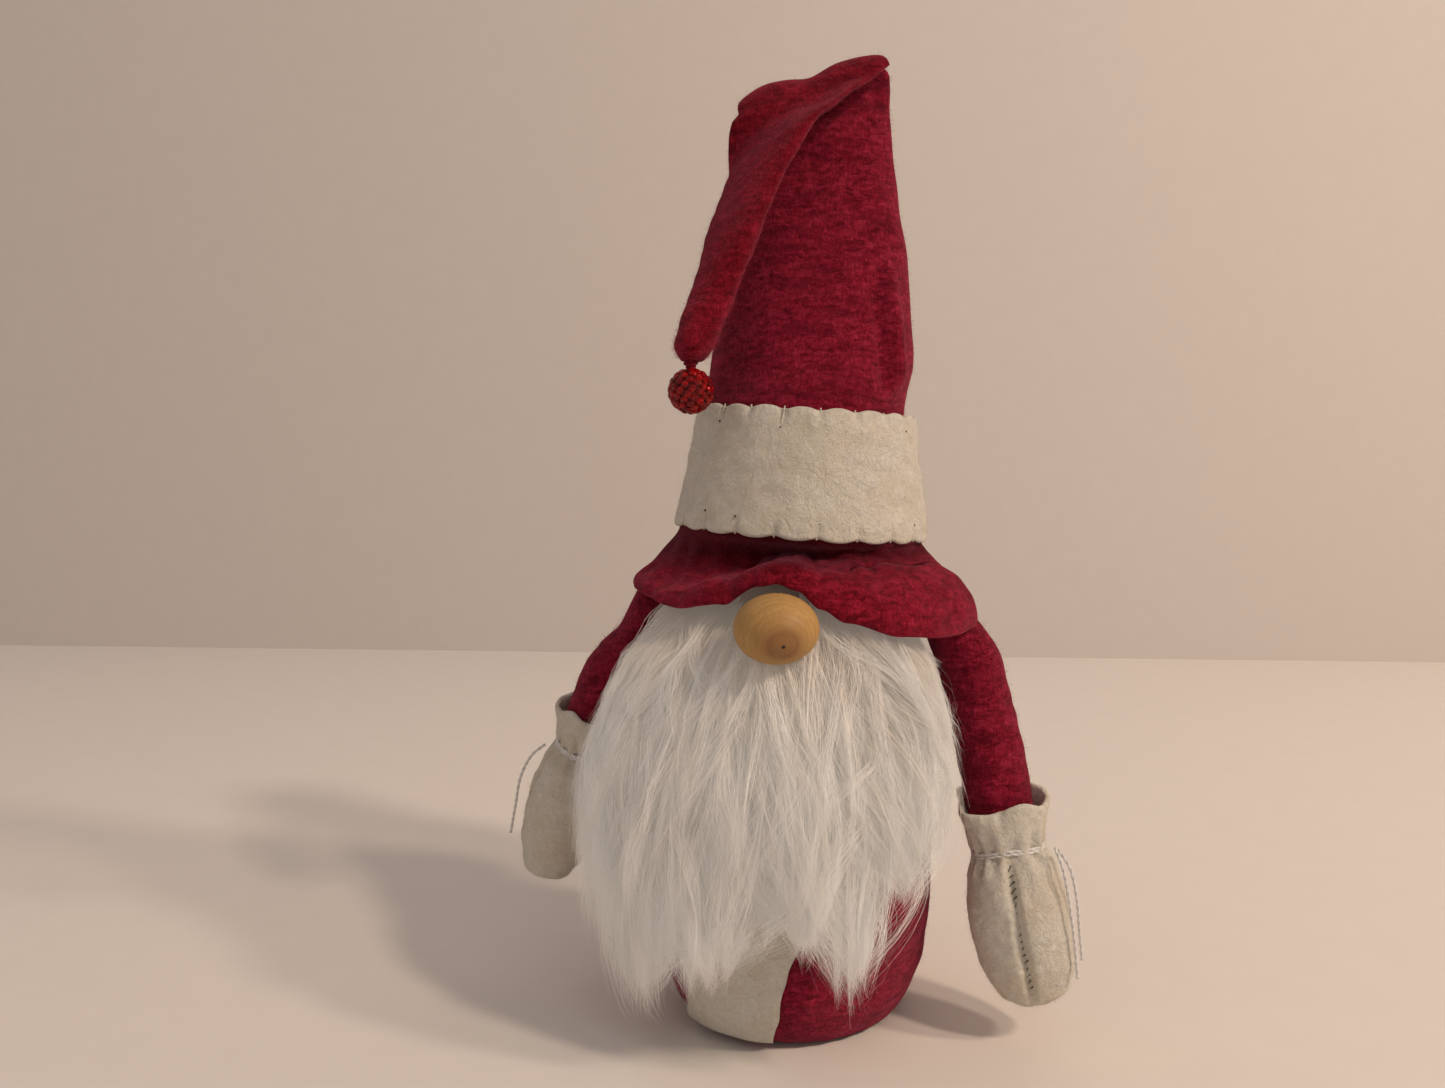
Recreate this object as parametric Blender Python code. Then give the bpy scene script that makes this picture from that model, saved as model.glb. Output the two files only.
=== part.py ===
"""Tomte gnome figurine: a stuffed flannel body, hat, arms and felt mittens. Metres, +Z up, facing -Y."""

import math

import bmesh
import bpy
from mathutils import Matrix, Vector

# Driving dimensions
GAP = 0.0003
FLANNEL = 0.0013
FELT = 0.0017
TAIL_WALL = 0.0009
KNIT = 0.0010
CARD = 0.0015
POUCH_HEIGHT = 0.018
BODY_TOP = 0.168
FOOT_RADIUS = 0.0330
FLOOR_GAP = 0.0003
BODY_CENTRE = Vector((-0.0030, 0.0))
BODY_RADIUS = 0.0470
BODY_RADIUS_Z = 0.048
NECK_RADIUS = 0.029
TRIM_WIDTH = 0.030
BRIM_SIDES = 40
BRIM_TUCK = 0.1
BRIM_FOOT_Z = 0.1338
BRIM_WAVE = 0.0013
BRIM_LIFT = 0.0116
NOSE_HALF = Vector((0.0123, 0.0125, 0.0100))
NOSE_CENTRE = Vector((0.0044, -0.0565, 0.1325))
BAND_HEIGHT = 0.038
BAND_FOOT_Z = 0.1575
BAND_FOOT_RADIUS = 0.0408
BAND_TOP_RADIUS = 0.0350
HAT_SLOPE = -0.065
HAT_LEAN = 0.05
HAT_BULGE = 0.0012
STITCH_COUNT = 20
STITCH_DEPTH = 0.0055
THREAD = 0.0007
RIDGE_MID = Vector((0.0040, 0.0000, 0.2950))
HAT_RISE = RIDGE_MID.z - BAND_FOOT_Z + 0.002
RIDGE_DIRECTION = Vector((0.0490, 0.0095, 0.0150)).normalized()
RIDGE_HALF = 0.0248
ROLL_RADIUS = 0.0036
BEAD_RADIUS = 0.0068
BEAD_CENTRE = Vector((-0.0252, -0.0406, 0.2003))
BEAD_DROP = 0.0012
YARN = 0.0011
ROUND_SIDES = 24
LIMB_SIDES = 14

FLANNEL_COLOUR = (0.20, 0.012, 0.035, 1.0)
FELT_COLOUR = (0.62, 0.56, 0.46, 1.0)
WADDING_COLOUR = (0.80, 0.79, 0.76, 1.0)
PILE_COLOUR = (0.72, 0.70, 0.67, 1.0)
WOOD_COLOUR = (0.50, 0.32, 0.15, 1.0)
YARN_COLOUR = (0.74, 0.73, 0.71, 1.0)
SEAM_COLOUR = (0.15, 0.13, 0.07, 1.0)
CARD_COLOUR = (0.35, 0.26, 0.17, 1.0)
POUCH_COLOUR = (0.55, 0.50, 0.42, 1.0)
BEAD_COLOUR = (0.30, 0.004, 0.008, 1.0)


def clear_scene():
    """Removes whatever the scene holds."""
    for obj in list(bpy.data.objects):
        bpy.data.objects.remove(obj)


def material(name, colour, roughness):
    """A plain Principled material, made once for each name."""
    found = bpy.data.materials.get(name)
    if found:
        return found
    made = bpy.data.materials.new(name)
    made.use_nodes = True
    shader = made.node_tree.nodes["Principled BSDF"]
    shader.inputs["Base Color"].default_value = colour
    shader.inputs["Roughness"].default_value = roughness
    made.diffuse_color = colour
    return made


def flannel():
    return material("flannel", FLANNEL_COLOUR, 0.95)


def felt():
    return material("felt", FELT_COLOUR, 0.95)


def wadding():
    return material("wadding", WADDING_COLOUR, 1.0)


def yarn():
    return material("yarn", YARN_COLOUR, 0.9)


def finish(name, mesh_data, surface):
    """Links one named mesh object, smooth on its rounds, with its material."""
    obj = bpy.data.objects.new(name, mesh_data)
    bpy.context.collection.objects.link(obj)
    obj.data.materials.append(surface)
    obj.data.shade_smooth()
    obj.data.set_sharp_from_angle(angle=math.radians(40))
    return obj


def bridge(mesh, first, second):
    """Joins two loops of vertices, in step, with quads."""
    count = len(first)
    for i in range(count):
        j = (i + 1) % count
        mesh.faces.new((first[i], first[j], second[j], second[i]))


def add_loops(mesh, rings):
    return [[mesh.verts.new(point) for point in ring] for ring in rings]


def closed_loft(name, rings, surface):
    """A solid through closed rings, capped at both ends."""
    mesh = bmesh.new()
    loops = add_loops(mesh, rings)
    for first, second in zip(loops, loops[1:]):
        bridge(mesh, first, second)
    mesh.faces.new(loops[0])
    mesh.faces.new(loops[-1])
    return mesh_object(name, mesh, surface)


def shell_loft(name, outer, inner, surface, closed_end=False):
    """A wall between outer and inner rings, open at its start, and at its end unless that is closed."""
    mesh = bmesh.new()
    outside = add_loops(mesh, outer)
    inside = add_loops(mesh, inner)
    for loops in (outside, inside):
        for first, second in zip(loops, loops[1:]):
            bridge(mesh, first, second)
    bridge(mesh, outside[0], inside[0])
    if closed_end:
        mesh.faces.new(outside[-1])
        mesh.faces.new(inside[-1])
    else:
        bridge(mesh, outside[-1], inside[-1])
    return mesh_object(name, mesh, surface)


def mesh_object(name, mesh, surface):
    bmesh.ops.recalc_face_normals(mesh, faces=mesh.faces)
    data = bpy.data.meshes.new(name)
    mesh.to_mesh(data)
    mesh.free()
    return finish(name, data, surface)


def circle(centre, radius, z, sides=ROUND_SIDES):
    """A level ring of points round the vertical axis through centre."""
    turn = math.tau / sides
    return [
        Vector((centre[0] + radius * math.cos(i * turn), centre[1] + radius * math.sin(i * turn), z))
        for i in range(sides)
    ]


def smooth_step(value):
    value = min(max(value, 0.0), 1.0)
    return value * value * (3 - 2 * value)


def blend_through(stops, at):
    """A value read smoothly from (place, value) stops."""
    for (low, first), (high, second) in zip(stops, stops[1:]):
        if at <= high:
            return first + (second - first) * smooth_step((at - low) / (high - low))
    return stops[-1][1]


def body_radius(z):
    """Outer radius of the body sack: a rounded foot, a full belly and a long taper to the neck."""
    if z < BODY_RADIUS_Z:
        rise = 1 - z / BODY_RADIUS_Z
        return FOOT_RADIUS + (BODY_RADIUS - FOOT_RADIUS) * math.sqrt(1 - rise ** 2.1)
    return blend_through([(BODY_RADIUS_Z, BODY_RADIUS), (BODY_TOP, NECK_RADIUS)], z)


def body_lean(z):
    """Share of the belly's sideways offset that is left at a height."""
    return 1 - 0.8 * smooth_step(z / BODY_TOP)


def turned(radius_of, low, high, steps, less=0.0):
    """Rings of a turned profile between two heights."""
    heights = [low + (high - low) * i / steps for i in range(steps + 1)]
    return [circle(BODY_CENTRE * body_lean(z), radius_of(z) - less, z) for z in heights]


def make_body():
    """The sack, its base panel, the card, the pellet pouch and the stuffing."""
    shell_loft(
        "body_sack",
        turned(body_radius, FLOOR_GAP, BODY_TOP, 9),
        turned(body_radius, FLOOR_GAP, BODY_TOP, 9, FLANNEL),
        flannel(),
    )
    panel_radius = body_radius(FLOOR_GAP) - FLANNEL - GAP
    panel = [circle(BODY_CENTRE, panel_radius, z) for z in (0.0, FLANNEL)]
    closed_loft("base_panel", panel, flannel())
    card_foot = FLANNEL + GAP
    card = [circle(BODY_CENTRE, panel_radius - GAP, z) for z in (card_foot, card_foot + CARD)]
    closed_loft("base_card", card, material("card", CARD_COLOUR, 0.9))
    pouch_foot = card_foot + CARD + GAP
    pouch_top = pouch_foot + POUCH_HEIGHT
    pouch_radii = ((0.0, 0.0290), (0.17, 0.0335), (0.5, 0.0375), (0.83, 0.0370), (1.0, 0.0300))
    pouch = [circle(BODY_CENTRE, radius, pouch_foot + share * POUCH_HEIGHT) for share, radius in pouch_radii]
    closed_loft("weight_pouch", pouch, material("pouch", POUCH_COLOUR, 0.95))
    inner = turned(body_radius, pouch_top + GAP, BODY_TOP - 0.002, 7, FLANNEL + 4 * GAP)
    closed_loft("body_stuffing", inner, wadding())


def wrapped_point(angle, z, lift):
    """A point outside the body, at an angle from its front (-Y) toward +X."""
    radius = body_radius(z) + lift
    centre_x = BODY_CENTRE.x * body_lean(z)
    return Vector((centre_x + radius * math.sin(angle), -radius * math.cos(angle), z))


def wrapped_panel(name, heights, edges_of, lift, thickness, surface, columns=8):
    """A cloth strip that follows the body between two edge angles given for each height."""
    rings = []
    for z in heights:
        left, right = edges_of(z)
        angles = [left + (right - left) * i / columns for i in range(columns + 1)]
        ring = [wrapped_point(angle, z, lift + thickness) for angle in angles]
        ring += [wrapped_point(angle, z, lift) for angle in reversed(angles)]
        rings.append(ring)
    return closed_loft(name, rings, surface)


def trim_edges(z):
    centre = -0.0132 + 0.26 * z
    return (centre - TRIM_WIDTH / 2) / body_radius(z), (centre + TRIM_WIDTH / 2) / body_radius(z)


def beard_edges(z):
    """Where the beard's backing ends on each side."""
    half = blend_through([(0.03, 0.45), (0.075, 1.0), (0.120, 1.15), (0.150, 0.80)], z)
    return -half - 0.05, half


def make_front():
    """The coat trim, the beard's backing and its pile."""
    trim_heights = [0.003 + 0.011 * i for i in range(9)]
    wrapped_panel("coat_trim", trim_heights, trim_edges, 3 * GAP, FELT, felt(), 5)
    backing_lift = 6 * GAP + FELT
    backing_heights = [0.040 + 0.0180 * i for i in range(7)]
    backing = material("beard_backing", PILE_COLOUR, 0.95)
    wrapped_panel("beard_backing", backing_heights, beard_edges, backing_lift, KNIT, backing, 10)
    make_pile(backing_lift + KNIT + 4 * GAP)


def pile_rows():
    """(height, left angle, right angle, depth) of the beard's outer mass, foot to top."""
    return (
        (0.0030, -0.95, -0.45, 0.006),
        (0.0150, -1.02, -0.10, 0.011),
        (0.0300, -1.08, 0.30, 0.014),
        (0.0480, -1.12, 0.70, 0.017),
        (0.0650, -1.16, 0.95, 0.020),
        (0.0850, -1.18, 1.08, 0.022),
        (0.1050, -1.12, 1.06, 0.021),
        (0.1180, -1.04, 0.98, 0.019),
        (0.1290, -0.92, 0.82, 0.0125),
        (0.1385, -0.72, 0.60, 0.0040),
    )


def make_pile(lift, columns=12):
    rings = []
    for z, left, right, depth in pile_rows():
        angles = [left + (right - left) * i / columns for i in range(columns + 1)]
        ring = []
        for i, angle in enumerate(angles):
            bulge = math.sqrt(max(0.0, 1 - (2 * i / columns - 1) ** 6))
            ring.append(wrapped_point(angle, z, lift + 0.0015 + depth * bulge))
        ring += [wrapped_point(angle, z, lift) for angle in reversed(angles)]
        rings.append(ring)
    pile = closed_loft("beard_pile", rings, material("beard_pile", PILE_COLOUR, 0.9))
    cutter = ellipsoid("nose_clearance", NOSE_CENTRE, NOSE_HALF + Vector((2 * GAP,) * 3), flannel())
    cutter.hide_render = True
    cutter.display_type = "WIRE"
    cut = pile.modifiers.new("Nose seat", "BOOLEAN")
    cut.operation = "DIFFERENCE"
    cut.object = cutter


def ellipsoid(name, centre, half, surface, segments=18, rows=10):
    """A ball with its poles toward the front and the back, stretched to three half sizes."""
    mesh = bmesh.new()
    bmesh.ops.create_uvsphere(mesh, u_segments=segments, v_segments=rows, radius=1.0)
    turn = Matrix.Rotation(math.radians(90), 4, "X")
    stretch = Matrix.Diagonal((half.x, half.y, half.z, 1.0))
    bmesh.ops.transform(mesh, matrix=Matrix.Translation(centre) @ stretch @ turn, verts=mesh.verts)
    return mesh_object(name, mesh, surface)


def tilted(ring):
    """Lowers a hat ring toward +X and leans it that way, the way the whole hat sits."""
    return [Vector((p.x + HAT_LEAN * (p.z - BAND_FOOT_Z), p.y, p.z + HAT_SLOPE * p.x)) for p in ring]


def band_radius(z):
    return BAND_FOOT_RADIUS + (BAND_TOP_RADIUS - BAND_FOOT_RADIUS) * (z - BAND_FOOT_Z) / BAND_HEIGHT


def brim_edge(angle):
    """Radius and height of the brim's hem at an angle from the front toward +X."""
    radius = 0.0522 - 0.0025 * math.cos(2 * angle) + 0.0025 * math.sin(angle)
    wave = BRIM_WAVE * math.cos(5 * angle + 0.4)
    wrapped = (angle + math.pi) % math.tau - math.pi
    nose_lift = BRIM_LIFT * math.exp(-((wrapped - 0.07) / 0.27) ** 2)
    return radius, BRIM_FOOT_Z + wave + nose_lift


def brim_ring(share, less):
    """One ring of the brim: share 0 at its sewn top, 1 at its hem."""
    ring = []
    for i in range(BRIM_SIDES):
        angle = math.tau * i / BRIM_SIDES
        hem_radius, hem_z = brim_edge(angle)
        top_radius = band_radius(BAND_FOOT_Z) - FELT - 3 * GAP
        flare = max(0.0, share - BRIM_TUCK) / (1 - BRIM_TUCK)
        radius = top_radius + (hem_radius - top_radius) * flare
        tuck_z = BAND_FOOT_Z - 2 * GAP
        z = tuck_z + (hem_z - tuck_z) * flare if flare > 0 else tuck_z + 0.0045 * (1 - share / BRIM_TUCK)
        radius -= less * 0.8
        z -= less * 0.6 * min(1.0, 3 * flare)
        ring.append(Vector((radius * math.sin(angle), -radius * math.cos(angle), z)))
    return tilted(ring)


def ridge_frame():
    """The fold's own directions: along the ridge, out to the front, and up."""
    along = RIDGE_DIRECTION
    front = Vector((0, 0, 1)).cross(along).normalized() * -1
    up = front.cross(along).normalized()
    return along, front, up if up.z > 0 else -up


def flat_ring(centre, along, across, half_along, half_across, sides=ROUND_SIDES):
    """A rounded flat ring with points spaced evenly by angle."""
    turn = math.tau / sides
    ring = []
    for i in range(sides):
        ring.append(
            centre + along * (half_along * math.cos(i * turn)) + across * (half_across * math.sin(i * turn))
        )
    return ring


def hat_rings(less):
    """The hat's wall from its foot inside the brim up to the folded ridge."""
    along, front, _ = ridge_frame()
    rings = []
    foot = Vector((0, 0, BAND_FOOT_Z - 0.002))
    foot_radius = band_radius(foot.z) - 2 * FELT - 5 * GAP
    for share in (0.0, 0.10, 0.285, 0.45, 0.65, 0.85, 1.0):
        centre = foot.lerp(RIDGE_MID, share)
        centre.x += HAT_BULGE * math.sin(math.pi * share)
        lean = smooth_step(share)
        half_along = foot_radius + (RIDGE_HALF - foot_radius) * share ** 1.35 - less
        half_across = foot_radius + (ROLL_RADIUS - foot_radius) * share ** 1.1 - less
        if share < 0.29:
            half_along = half_across = band_radius(foot.z + share * HAT_RISE) - 2 * FELT - 5 * GAP - less
            half_along += FELT * min(1.0, share / 0.1) * 0.6
            half_across = half_along
        direction = Vector((1, 0, HAT_SLOPE)).lerp(along, lean).normalized()
        across = Vector((0, 1, 0)).lerp(-front, lean).normalized()
        rings.append(flat_ring(centre, direction, across, half_along, half_across))
    return rings


def ridge_cap(less):
    """Rings that round the ridge's top over its own axis."""
    along, front, up = ridge_frame()
    radius = ROLL_RADIUS - less
    rings = []
    for degrees in (35, 65):
        lift = radius * math.sin(math.radians(degrees))
        shrink = math.cos(math.radians(degrees))
        half_along = RIDGE_HALF - less - radius * (1 - shrink)
        rings.append(flat_ring(RIDGE_MID + up * lift, along, -front, half_along, radius * shrink))
    return rings


def make_hat():
    """The cone, the brim, the band, its two rows of stitches and the stuffing."""
    outer = hat_rings(0.0) + ridge_cap(0.0)
    inner = hat_rings(FLANNEL) + ridge_cap(FLANNEL)
    shell_loft("hat_cone", outer, inner, flannel(), closed_end=True)
    closed_loft("hat_stuffing", hat_rings(FLANNEL + GAP)[2:], wadding())
    shares = [0.0, BRIM_TUCK, 0.4, 0.7, 1.0]
    shell_loft(
        "hat_brim",
        [brim_ring(share, 0.0) for share in shares],
        [brim_ring(share, FELT) for share in shares],
        flannel(),
    )
    band_heights = [BAND_FOOT_Z + BAND_HEIGHT * i / 4 for i in range(5)]
    shell_loft(
        "hat_band",
        [tilted(circle((0, 0), band_radius(z), z)) for z in band_heights],
        [tilted(circle((0, 0), band_radius(z) - FELT, z)) for z in band_heights],
        felt(),
    )
    make_stitches("band_top_stitching", BAND_FOOT_Z + BAND_HEIGHT - 0.0008, -1)
    make_stitches("band_bottom_stitching", BAND_FOOT_Z + 0.0008, 1)


def make_stitches(name, edge_z, inward):
    """A blanket stitch: a thread along the felt's edge, with a spur to each needle hole."""
    pitch = math.tau / STITCH_COUNT
    spur = THREAD / BAND_TOP_RADIUS
    angles = []
    for i in range(STITCH_COUNT):
        angles += [i * pitch, i * pitch + spur, i * pitch + pitch / 2]
    half = THREAD / 2
    levels = (edge_z - half, edge_z + half)

    def row(z, lift):
        points = []
        for angle in angles:
            radius = band_radius(z) + GAP + lift
            points.append(Vector((radius * math.cos(angle), radius * math.sin(angle), z)))
        return tilted(points)

    mesh = bmesh.new()
    rings = [row(levels[0], 0), row(levels[0], THREAD), row(levels[1], THREAD), row(levels[1], 0)]
    loops = add_loops(mesh, rings)
    for first, second in zip(loops, loops[1:] + loops[:1]):
        bridge(mesh, first, second)
    mesh.faces.ensure_lookup_table()
    mesh.normal_update()
    near, far = (loops[0], loops[1]) if inward < 0 else (loops[3], loops[2])
    for i in range(0, len(angles), 3):
        corners = {near[i], near[i + 1], far[i], far[i + 1]}
        face = next(f for f in mesh.faces if set(f.verts) == corners)
        grown = bmesh.ops.extrude_face_region(mesh, geom=[face])["geom"]
        tips = [v for v in grown if isinstance(v, bmesh.types.BMVert)]
        bmesh.ops.delete(mesh, geom=[face], context="FACES_ONLY")
        for tip in tips:
            move_down_band(tip, inward * STITCH_DEPTH)
    mesh_object(name, mesh, yarn())


def move_down_band(vert, drop):
    """Moves a thread corner along the band's sloping face."""
    level = vert.co.z - HAT_SLOPE * vert.co.x
    shift = HAT_LEAN * (level - BAND_FOOT_Z)
    flat = Vector((vert.co.x - shift, vert.co.y, 0))
    longer = flat.length + band_radius(level + drop) - band_radius(level)
    flat = flat.normalized() * longer
    shift = HAT_LEAN * (level + drop - BAND_FOOT_Z)
    vert.co = Vector((flat.x + shift, flat.y, level + drop + HAT_SLOPE * flat.x))


def joint_empty(name, at, parent=None):
    """An empty on a joint's axis, which carries the pieces that move about it."""
    empty = bpy.data.objects.new(name, None)
    bpy.context.collection.objects.link(empty)
    empty.location = at - (parent["pivot_vector"] if parent else Vector())
    empty.parent = parent["empty"] if parent else None
    return {"empty": empty, "pivot_vector": at}


def carry(joint, obj):
    """Gives a piece its joint's pivot as origin and parent."""
    obj.data.transform(Matrix.Translation(-joint["pivot_vector"]))
    obj.parent = joint["empty"]
    return obj


def tail_stations():
    """(centre, half width, half thickness) from the ridge down to the bulb and its neck."""
    return (
        (Vector((0.0038, -0.0078, 0.2950)), 0.0242, 0.0032),
        (Vector((-0.0030, -0.0125, 0.2835)), 0.0205, 0.0038),
        (Vector((-0.0095, -0.0180, 0.2700)), 0.0160, 0.0042),
        (Vector((-0.0138, -0.0240, 0.2555)), 0.0126, 0.0044),
        (Vector((-0.0170, -0.0300, 0.2425)), 0.0098, 0.0045),
        (Vector((-0.0200, -0.0350, 0.2290)), 0.0075, 0.0047),
        (Vector((-0.0225, -0.0385, 0.2200)), 0.0070, 0.0056),
        (Vector((-0.0240, -0.0400, 0.2135)), 0.0064, 0.0058),
        (Vector((-0.0248, -0.0406, 0.2093)), 0.0036, 0.0034),
    )


def tail_rings(less, first=0, end=None):
    """The tail's rings, each less wide and deep by a wall, from one station to before another."""
    stations = tail_stations()
    along = RIDGE_DIRECTION
    rings = []
    last = len(stations) - 1
    for i, (centre, half_width, half_depth) in enumerate(stations):
        path = stations[min(i + 1, last)][0] - stations[max(i - 1, 0)][0]
        level = Vector((along.x, along.y, 0)).normalized()
        side = along.lerp(level, smooth_step(i / 5)).normalized()
        depth = path.cross(side).normalized()
        rings.append(flat_ring(centre, side, depth, half_width - less, half_depth - less, 18))
    return rings[first:end]


def roll_rings():
    """The cloth that turns over the ridge, as slices of a part-ring along the fold."""
    along, front, up = ridge_frame()
    arc = [math.radians(degrees) for degrees in (-8, 15, 40, 65, 90, 115)]
    rings = []
    for share in (-1.0, -0.85, -0.5, 0.0, 0.5, 0.85, 1.0):
        centre = RIDGE_MID + along * (RIDGE_HALF * share)
        easing = math.sqrt(max(0.0, 1 - (abs(share) * 0.8) ** 6))
        inside = ROLL_RADIUS + 3 * GAP
        ring = []
        for a in arc:
            outer = inside + (FLANNEL + 0.0042 * max(0.0, math.cos(a))) * easing
            ring.append(centre + (front * math.cos(a) + up * math.sin(a)) * outer)
        ring += [centre + (front * math.cos(a) + up * math.sin(a)) * inside for a in reversed(arc)]
        rings.append(ring)
    return rings


def make_tail():
    """The folded top of the hat, with its bulb, wadding, thread and bead."""
    fold = joint_empty("hat_fold", RIDGE_MID)
    tail = shell_loft(
        "hat_tail",
        tail_rings(0.0),
        tail_rings(TAIL_WALL, end=-1),
        flannel(),
        closed_end=True,
    )
    roll = closed_loft("tail_roll", roll_rings(), flannel())
    roll.hide_render = True
    roll.display_type = "WIRE"
    union = tail.modifiers.new("Roll over the ridge", "BOOLEAN")
    union.operation = "UNION"
    union.object = roll
    carry(fold, tail)
    carry(fold, roll)
    carry(fold, closed_loft("tail_wadding", tail_rings(TAIL_WALL + GAP, 3, -2), wadding()))
    hang = BEAD_CENTRE + Vector((0, 0, BEAD_RADIUS + BEAD_DROP))
    swing = joint_empty("bead_hang", hang, fold)
    thread_levels = [(0.0003, 0.0011), (-0.0003, 0.0016), (-0.0009, 0.0011)]
    thread = [circle(hang, radius, hang.z + rise, 12) for rise, radius in thread_levels]
    carry(swing, closed_loft("bead_thread", thread, flannel()))
    mesh = bmesh.new()
    bmesh.ops.create_icosphere(mesh, subdivisions=2, radius=BEAD_RADIUS)
    bmesh.ops.transform(mesh, matrix=Matrix.Translation(BEAD_CENTRE), verts=mesh.verts)
    carry(swing, mesh_object("bead", mesh, material("bead", BEAD_COLOUR, 0.15)))


def limb_rings(stations, width, less=0.0, sides=LIMB_SIDES):
    """Rings square to a limb's own line. Each station is (centre, half width, half thickness)."""
    last = len(stations) - 1
    rings = []
    for i, (centre, half_width, half_depth) in enumerate(stations):
        path = (stations[min(i + 1, last)][0] - stations[max(i - 1, 0)][0]).normalized()
        side = (width - path * width.dot(path)).normalized()
        rings.append(flat_ring(centre, side, path.cross(side), half_width - less, half_depth - less, sides))
    return rings


ARMS = {
    "left": {
        "root": Vector((0.0440, 0.0, 0.1365)),
        "pivot": Vector((0.0550, 0.0, 0.1155)),
        "bend": Vector((0.0615, -0.0020, 0.0940)),
        "wrist": Vector((0.0662, -0.0075, 0.0690)),
        "tip": Vector((0.0770, -0.0120, 0.0130)),
        "width": Vector((1, 0, 0)),
        "yarn": (
            [(0.0150, -0.0030, 0.0020), (0.0185, -0.0060, -0.0030), (0.0205, -0.0060, -0.0120),
             (0.0215, -0.0050, -0.0220), (0.0225, -0.0050, -0.0310)],
            [(0.0138, -0.0060, 0.0035), (0.0162, -0.0092, -0.0020), (0.0182, -0.0098, -0.0120),
             (0.0198, -0.0098, -0.0230), (0.0210, -0.0095, -0.0350)],
        ),
    },
    "right": {
        "root": Vector((-0.0440, -0.0030, 0.1400)),
        "pivot": Vector((-0.0545, -0.0030, 0.1185)),
        "bend": Vector((-0.0655, -0.0030, 0.1065)),
        "wrist": Vector((-0.0735, -0.0030, 0.0895)),
        "tip": Vector((-0.0908, -0.0030, 0.0345)),
        "width": Vector((0.52, -0.86, 0)),
        "yarn": (
            [(-0.0130, -0.0020, 0.0010), (-0.0175, -0.0040, -0.0030), (-0.0215, -0.0045, -0.0110),
             (-0.0235, -0.0045, -0.0210), (-0.0255, -0.0045, -0.0310)],
        ),
    },
}

MITTEN_PROFILE = (
    (-0.0075, 0.0142, 0.0122),
    (-0.0020, 0.0130, 0.0112),
    (0.0045, 0.0119, 0.0102),
    (0.0100, 0.0108, 0.0090),
    (0.0155, 0.0132, 0.0112),
    (0.0250, 0.0156, 0.0128),
    (0.0350, 0.0160, 0.0130),
    (0.0460, 0.0148, 0.0120),
    (0.0530, 0.0116, 0.0094),
    (0.0565, 0.0066, 0.0054),
)
MITTEN_LENGTH = MITTEN_PROFILE[-1][0]
TIE_STATION = 3
SEAM_LIFT = 0.0008
SEAM_STEP = 0.0012
TAB_CLEARANCE = 0.0104


def mitten_stations(arm):
    """Mitten stations from the cuff's mouth to its round end, along the wrist-to-tip line."""
    line = arm["tip"] - arm["wrist"]
    scale = line.length / MITTEN_LENGTH
    direction = line.normalized()
    return [(arm["wrist"] + direction * (along * scale), a, b) for along, a, b in MITTEN_PROFILE]


def make_sleeve(side, arm, lift):
    """The sleeve tube and its stuffing, round at both ends about the shoulder and the wrist."""
    width, thick = 0.0098, 0.0088
    pivot, bend, wrist = arm["pivot"], arm["bend"], arm["wrist"]
    down = (bend - pivot).normalized()
    end = (wrist - bend).normalized()
    stations = [
        (pivot - down * 0.0082, 0.0040, 0.0036),
        (pivot - down * 0.0060, 0.0070, 0.0062),
        (pivot - down * 0.0020, 0.0092, 0.0084),
        (pivot.lerp(bend, 0.5), width, thick),
        (bend, width + 0.0004, thick),
        (bend.lerp(wrist, 0.45), width, thick),
        (wrist - end * 0.0060, 0.0090, 0.0080),
        (wrist, 0.0084, 0.0076),
        (wrist + end * 0.0045, 0.0068, 0.0062),
    ]
    outer = limb_rings(stations, arm["width"])
    inner = limb_rings(stations, arm["width"], FLANNEL)
    carry(lift, shell_loft(f"{side}_sleeve", outer, inner, flannel()))
    filling = limb_rings(stations[1:-1], arm["width"], FLANNEL + GAP)
    carry(lift, closed_loft(f"{side}_sleeve_stuffing", filling, wadding()))


def make_mitten(side, arm, wrist_joint):
    """The felt mitten, its stuffing, its seam thread and its yarn tie."""
    stations = mitten_stations(arm)
    outer = limb_rings(stations, arm["width"])
    inner = limb_rings(stations[:-1], arm["width"], FELT)
    carry(wrist_joint, shell_loft(f"{side}_mitten", outer, inner, felt(), closed_end=True))
    filling = limb_rings(stations[3:-2], arm["width"], FELT + GAP)
    carry(wrist_joint, closed_loft(f"{side}_mitten_stuffing", filling, wadding()))
    make_seam(side, arm, stations, wrist_joint)
    make_tie(side, arm, wrist_joint)


def cord_object(name, points, diameter, surface, closed=False):
    """A round tube along a smooth line of points."""
    data = bpy.data.curves.new(name, "CURVE")
    data.dimensions = "3D"
    data.bevel_depth = diameter / 2
    data.bevel_resolution = 2
    data.use_fill_caps = not closed
    spline = data.splines.new("POLY")
    spline.points.add(len(points) - 1)
    spline.use_cyclic_u = closed
    for knot, point in zip(spline.points, points):
        knot.co = (*point, 1.0)
    obj = bpy.data.objects.new(name, data)
    bpy.context.collection.objects.link(obj)
    data.materials.append(surface)
    return obj


def smooth_line(points, spacing):
    """Evenly read points on a Catmull-Rom curve through a few route points."""
    padded = [points[0] * 2 - points[1], *points, points[-1] * 2 - points[-2]]
    line = []
    for a, b, c, d in zip(padded, padded[1:], padded[2:], padded[3:]):
        steps = max(1, round((c - b).length / spacing))
        for i in range(steps):
            t = i / steps
            line.append(
                0.5 * (2 * b + (c - a) * t + (2 * a - 5 * b + 4 * c - d) * t ** 2
                       + (3 * b - a - 3 * c + d) * t ** 3)
            )
    return [*line, points[-1]]


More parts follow.
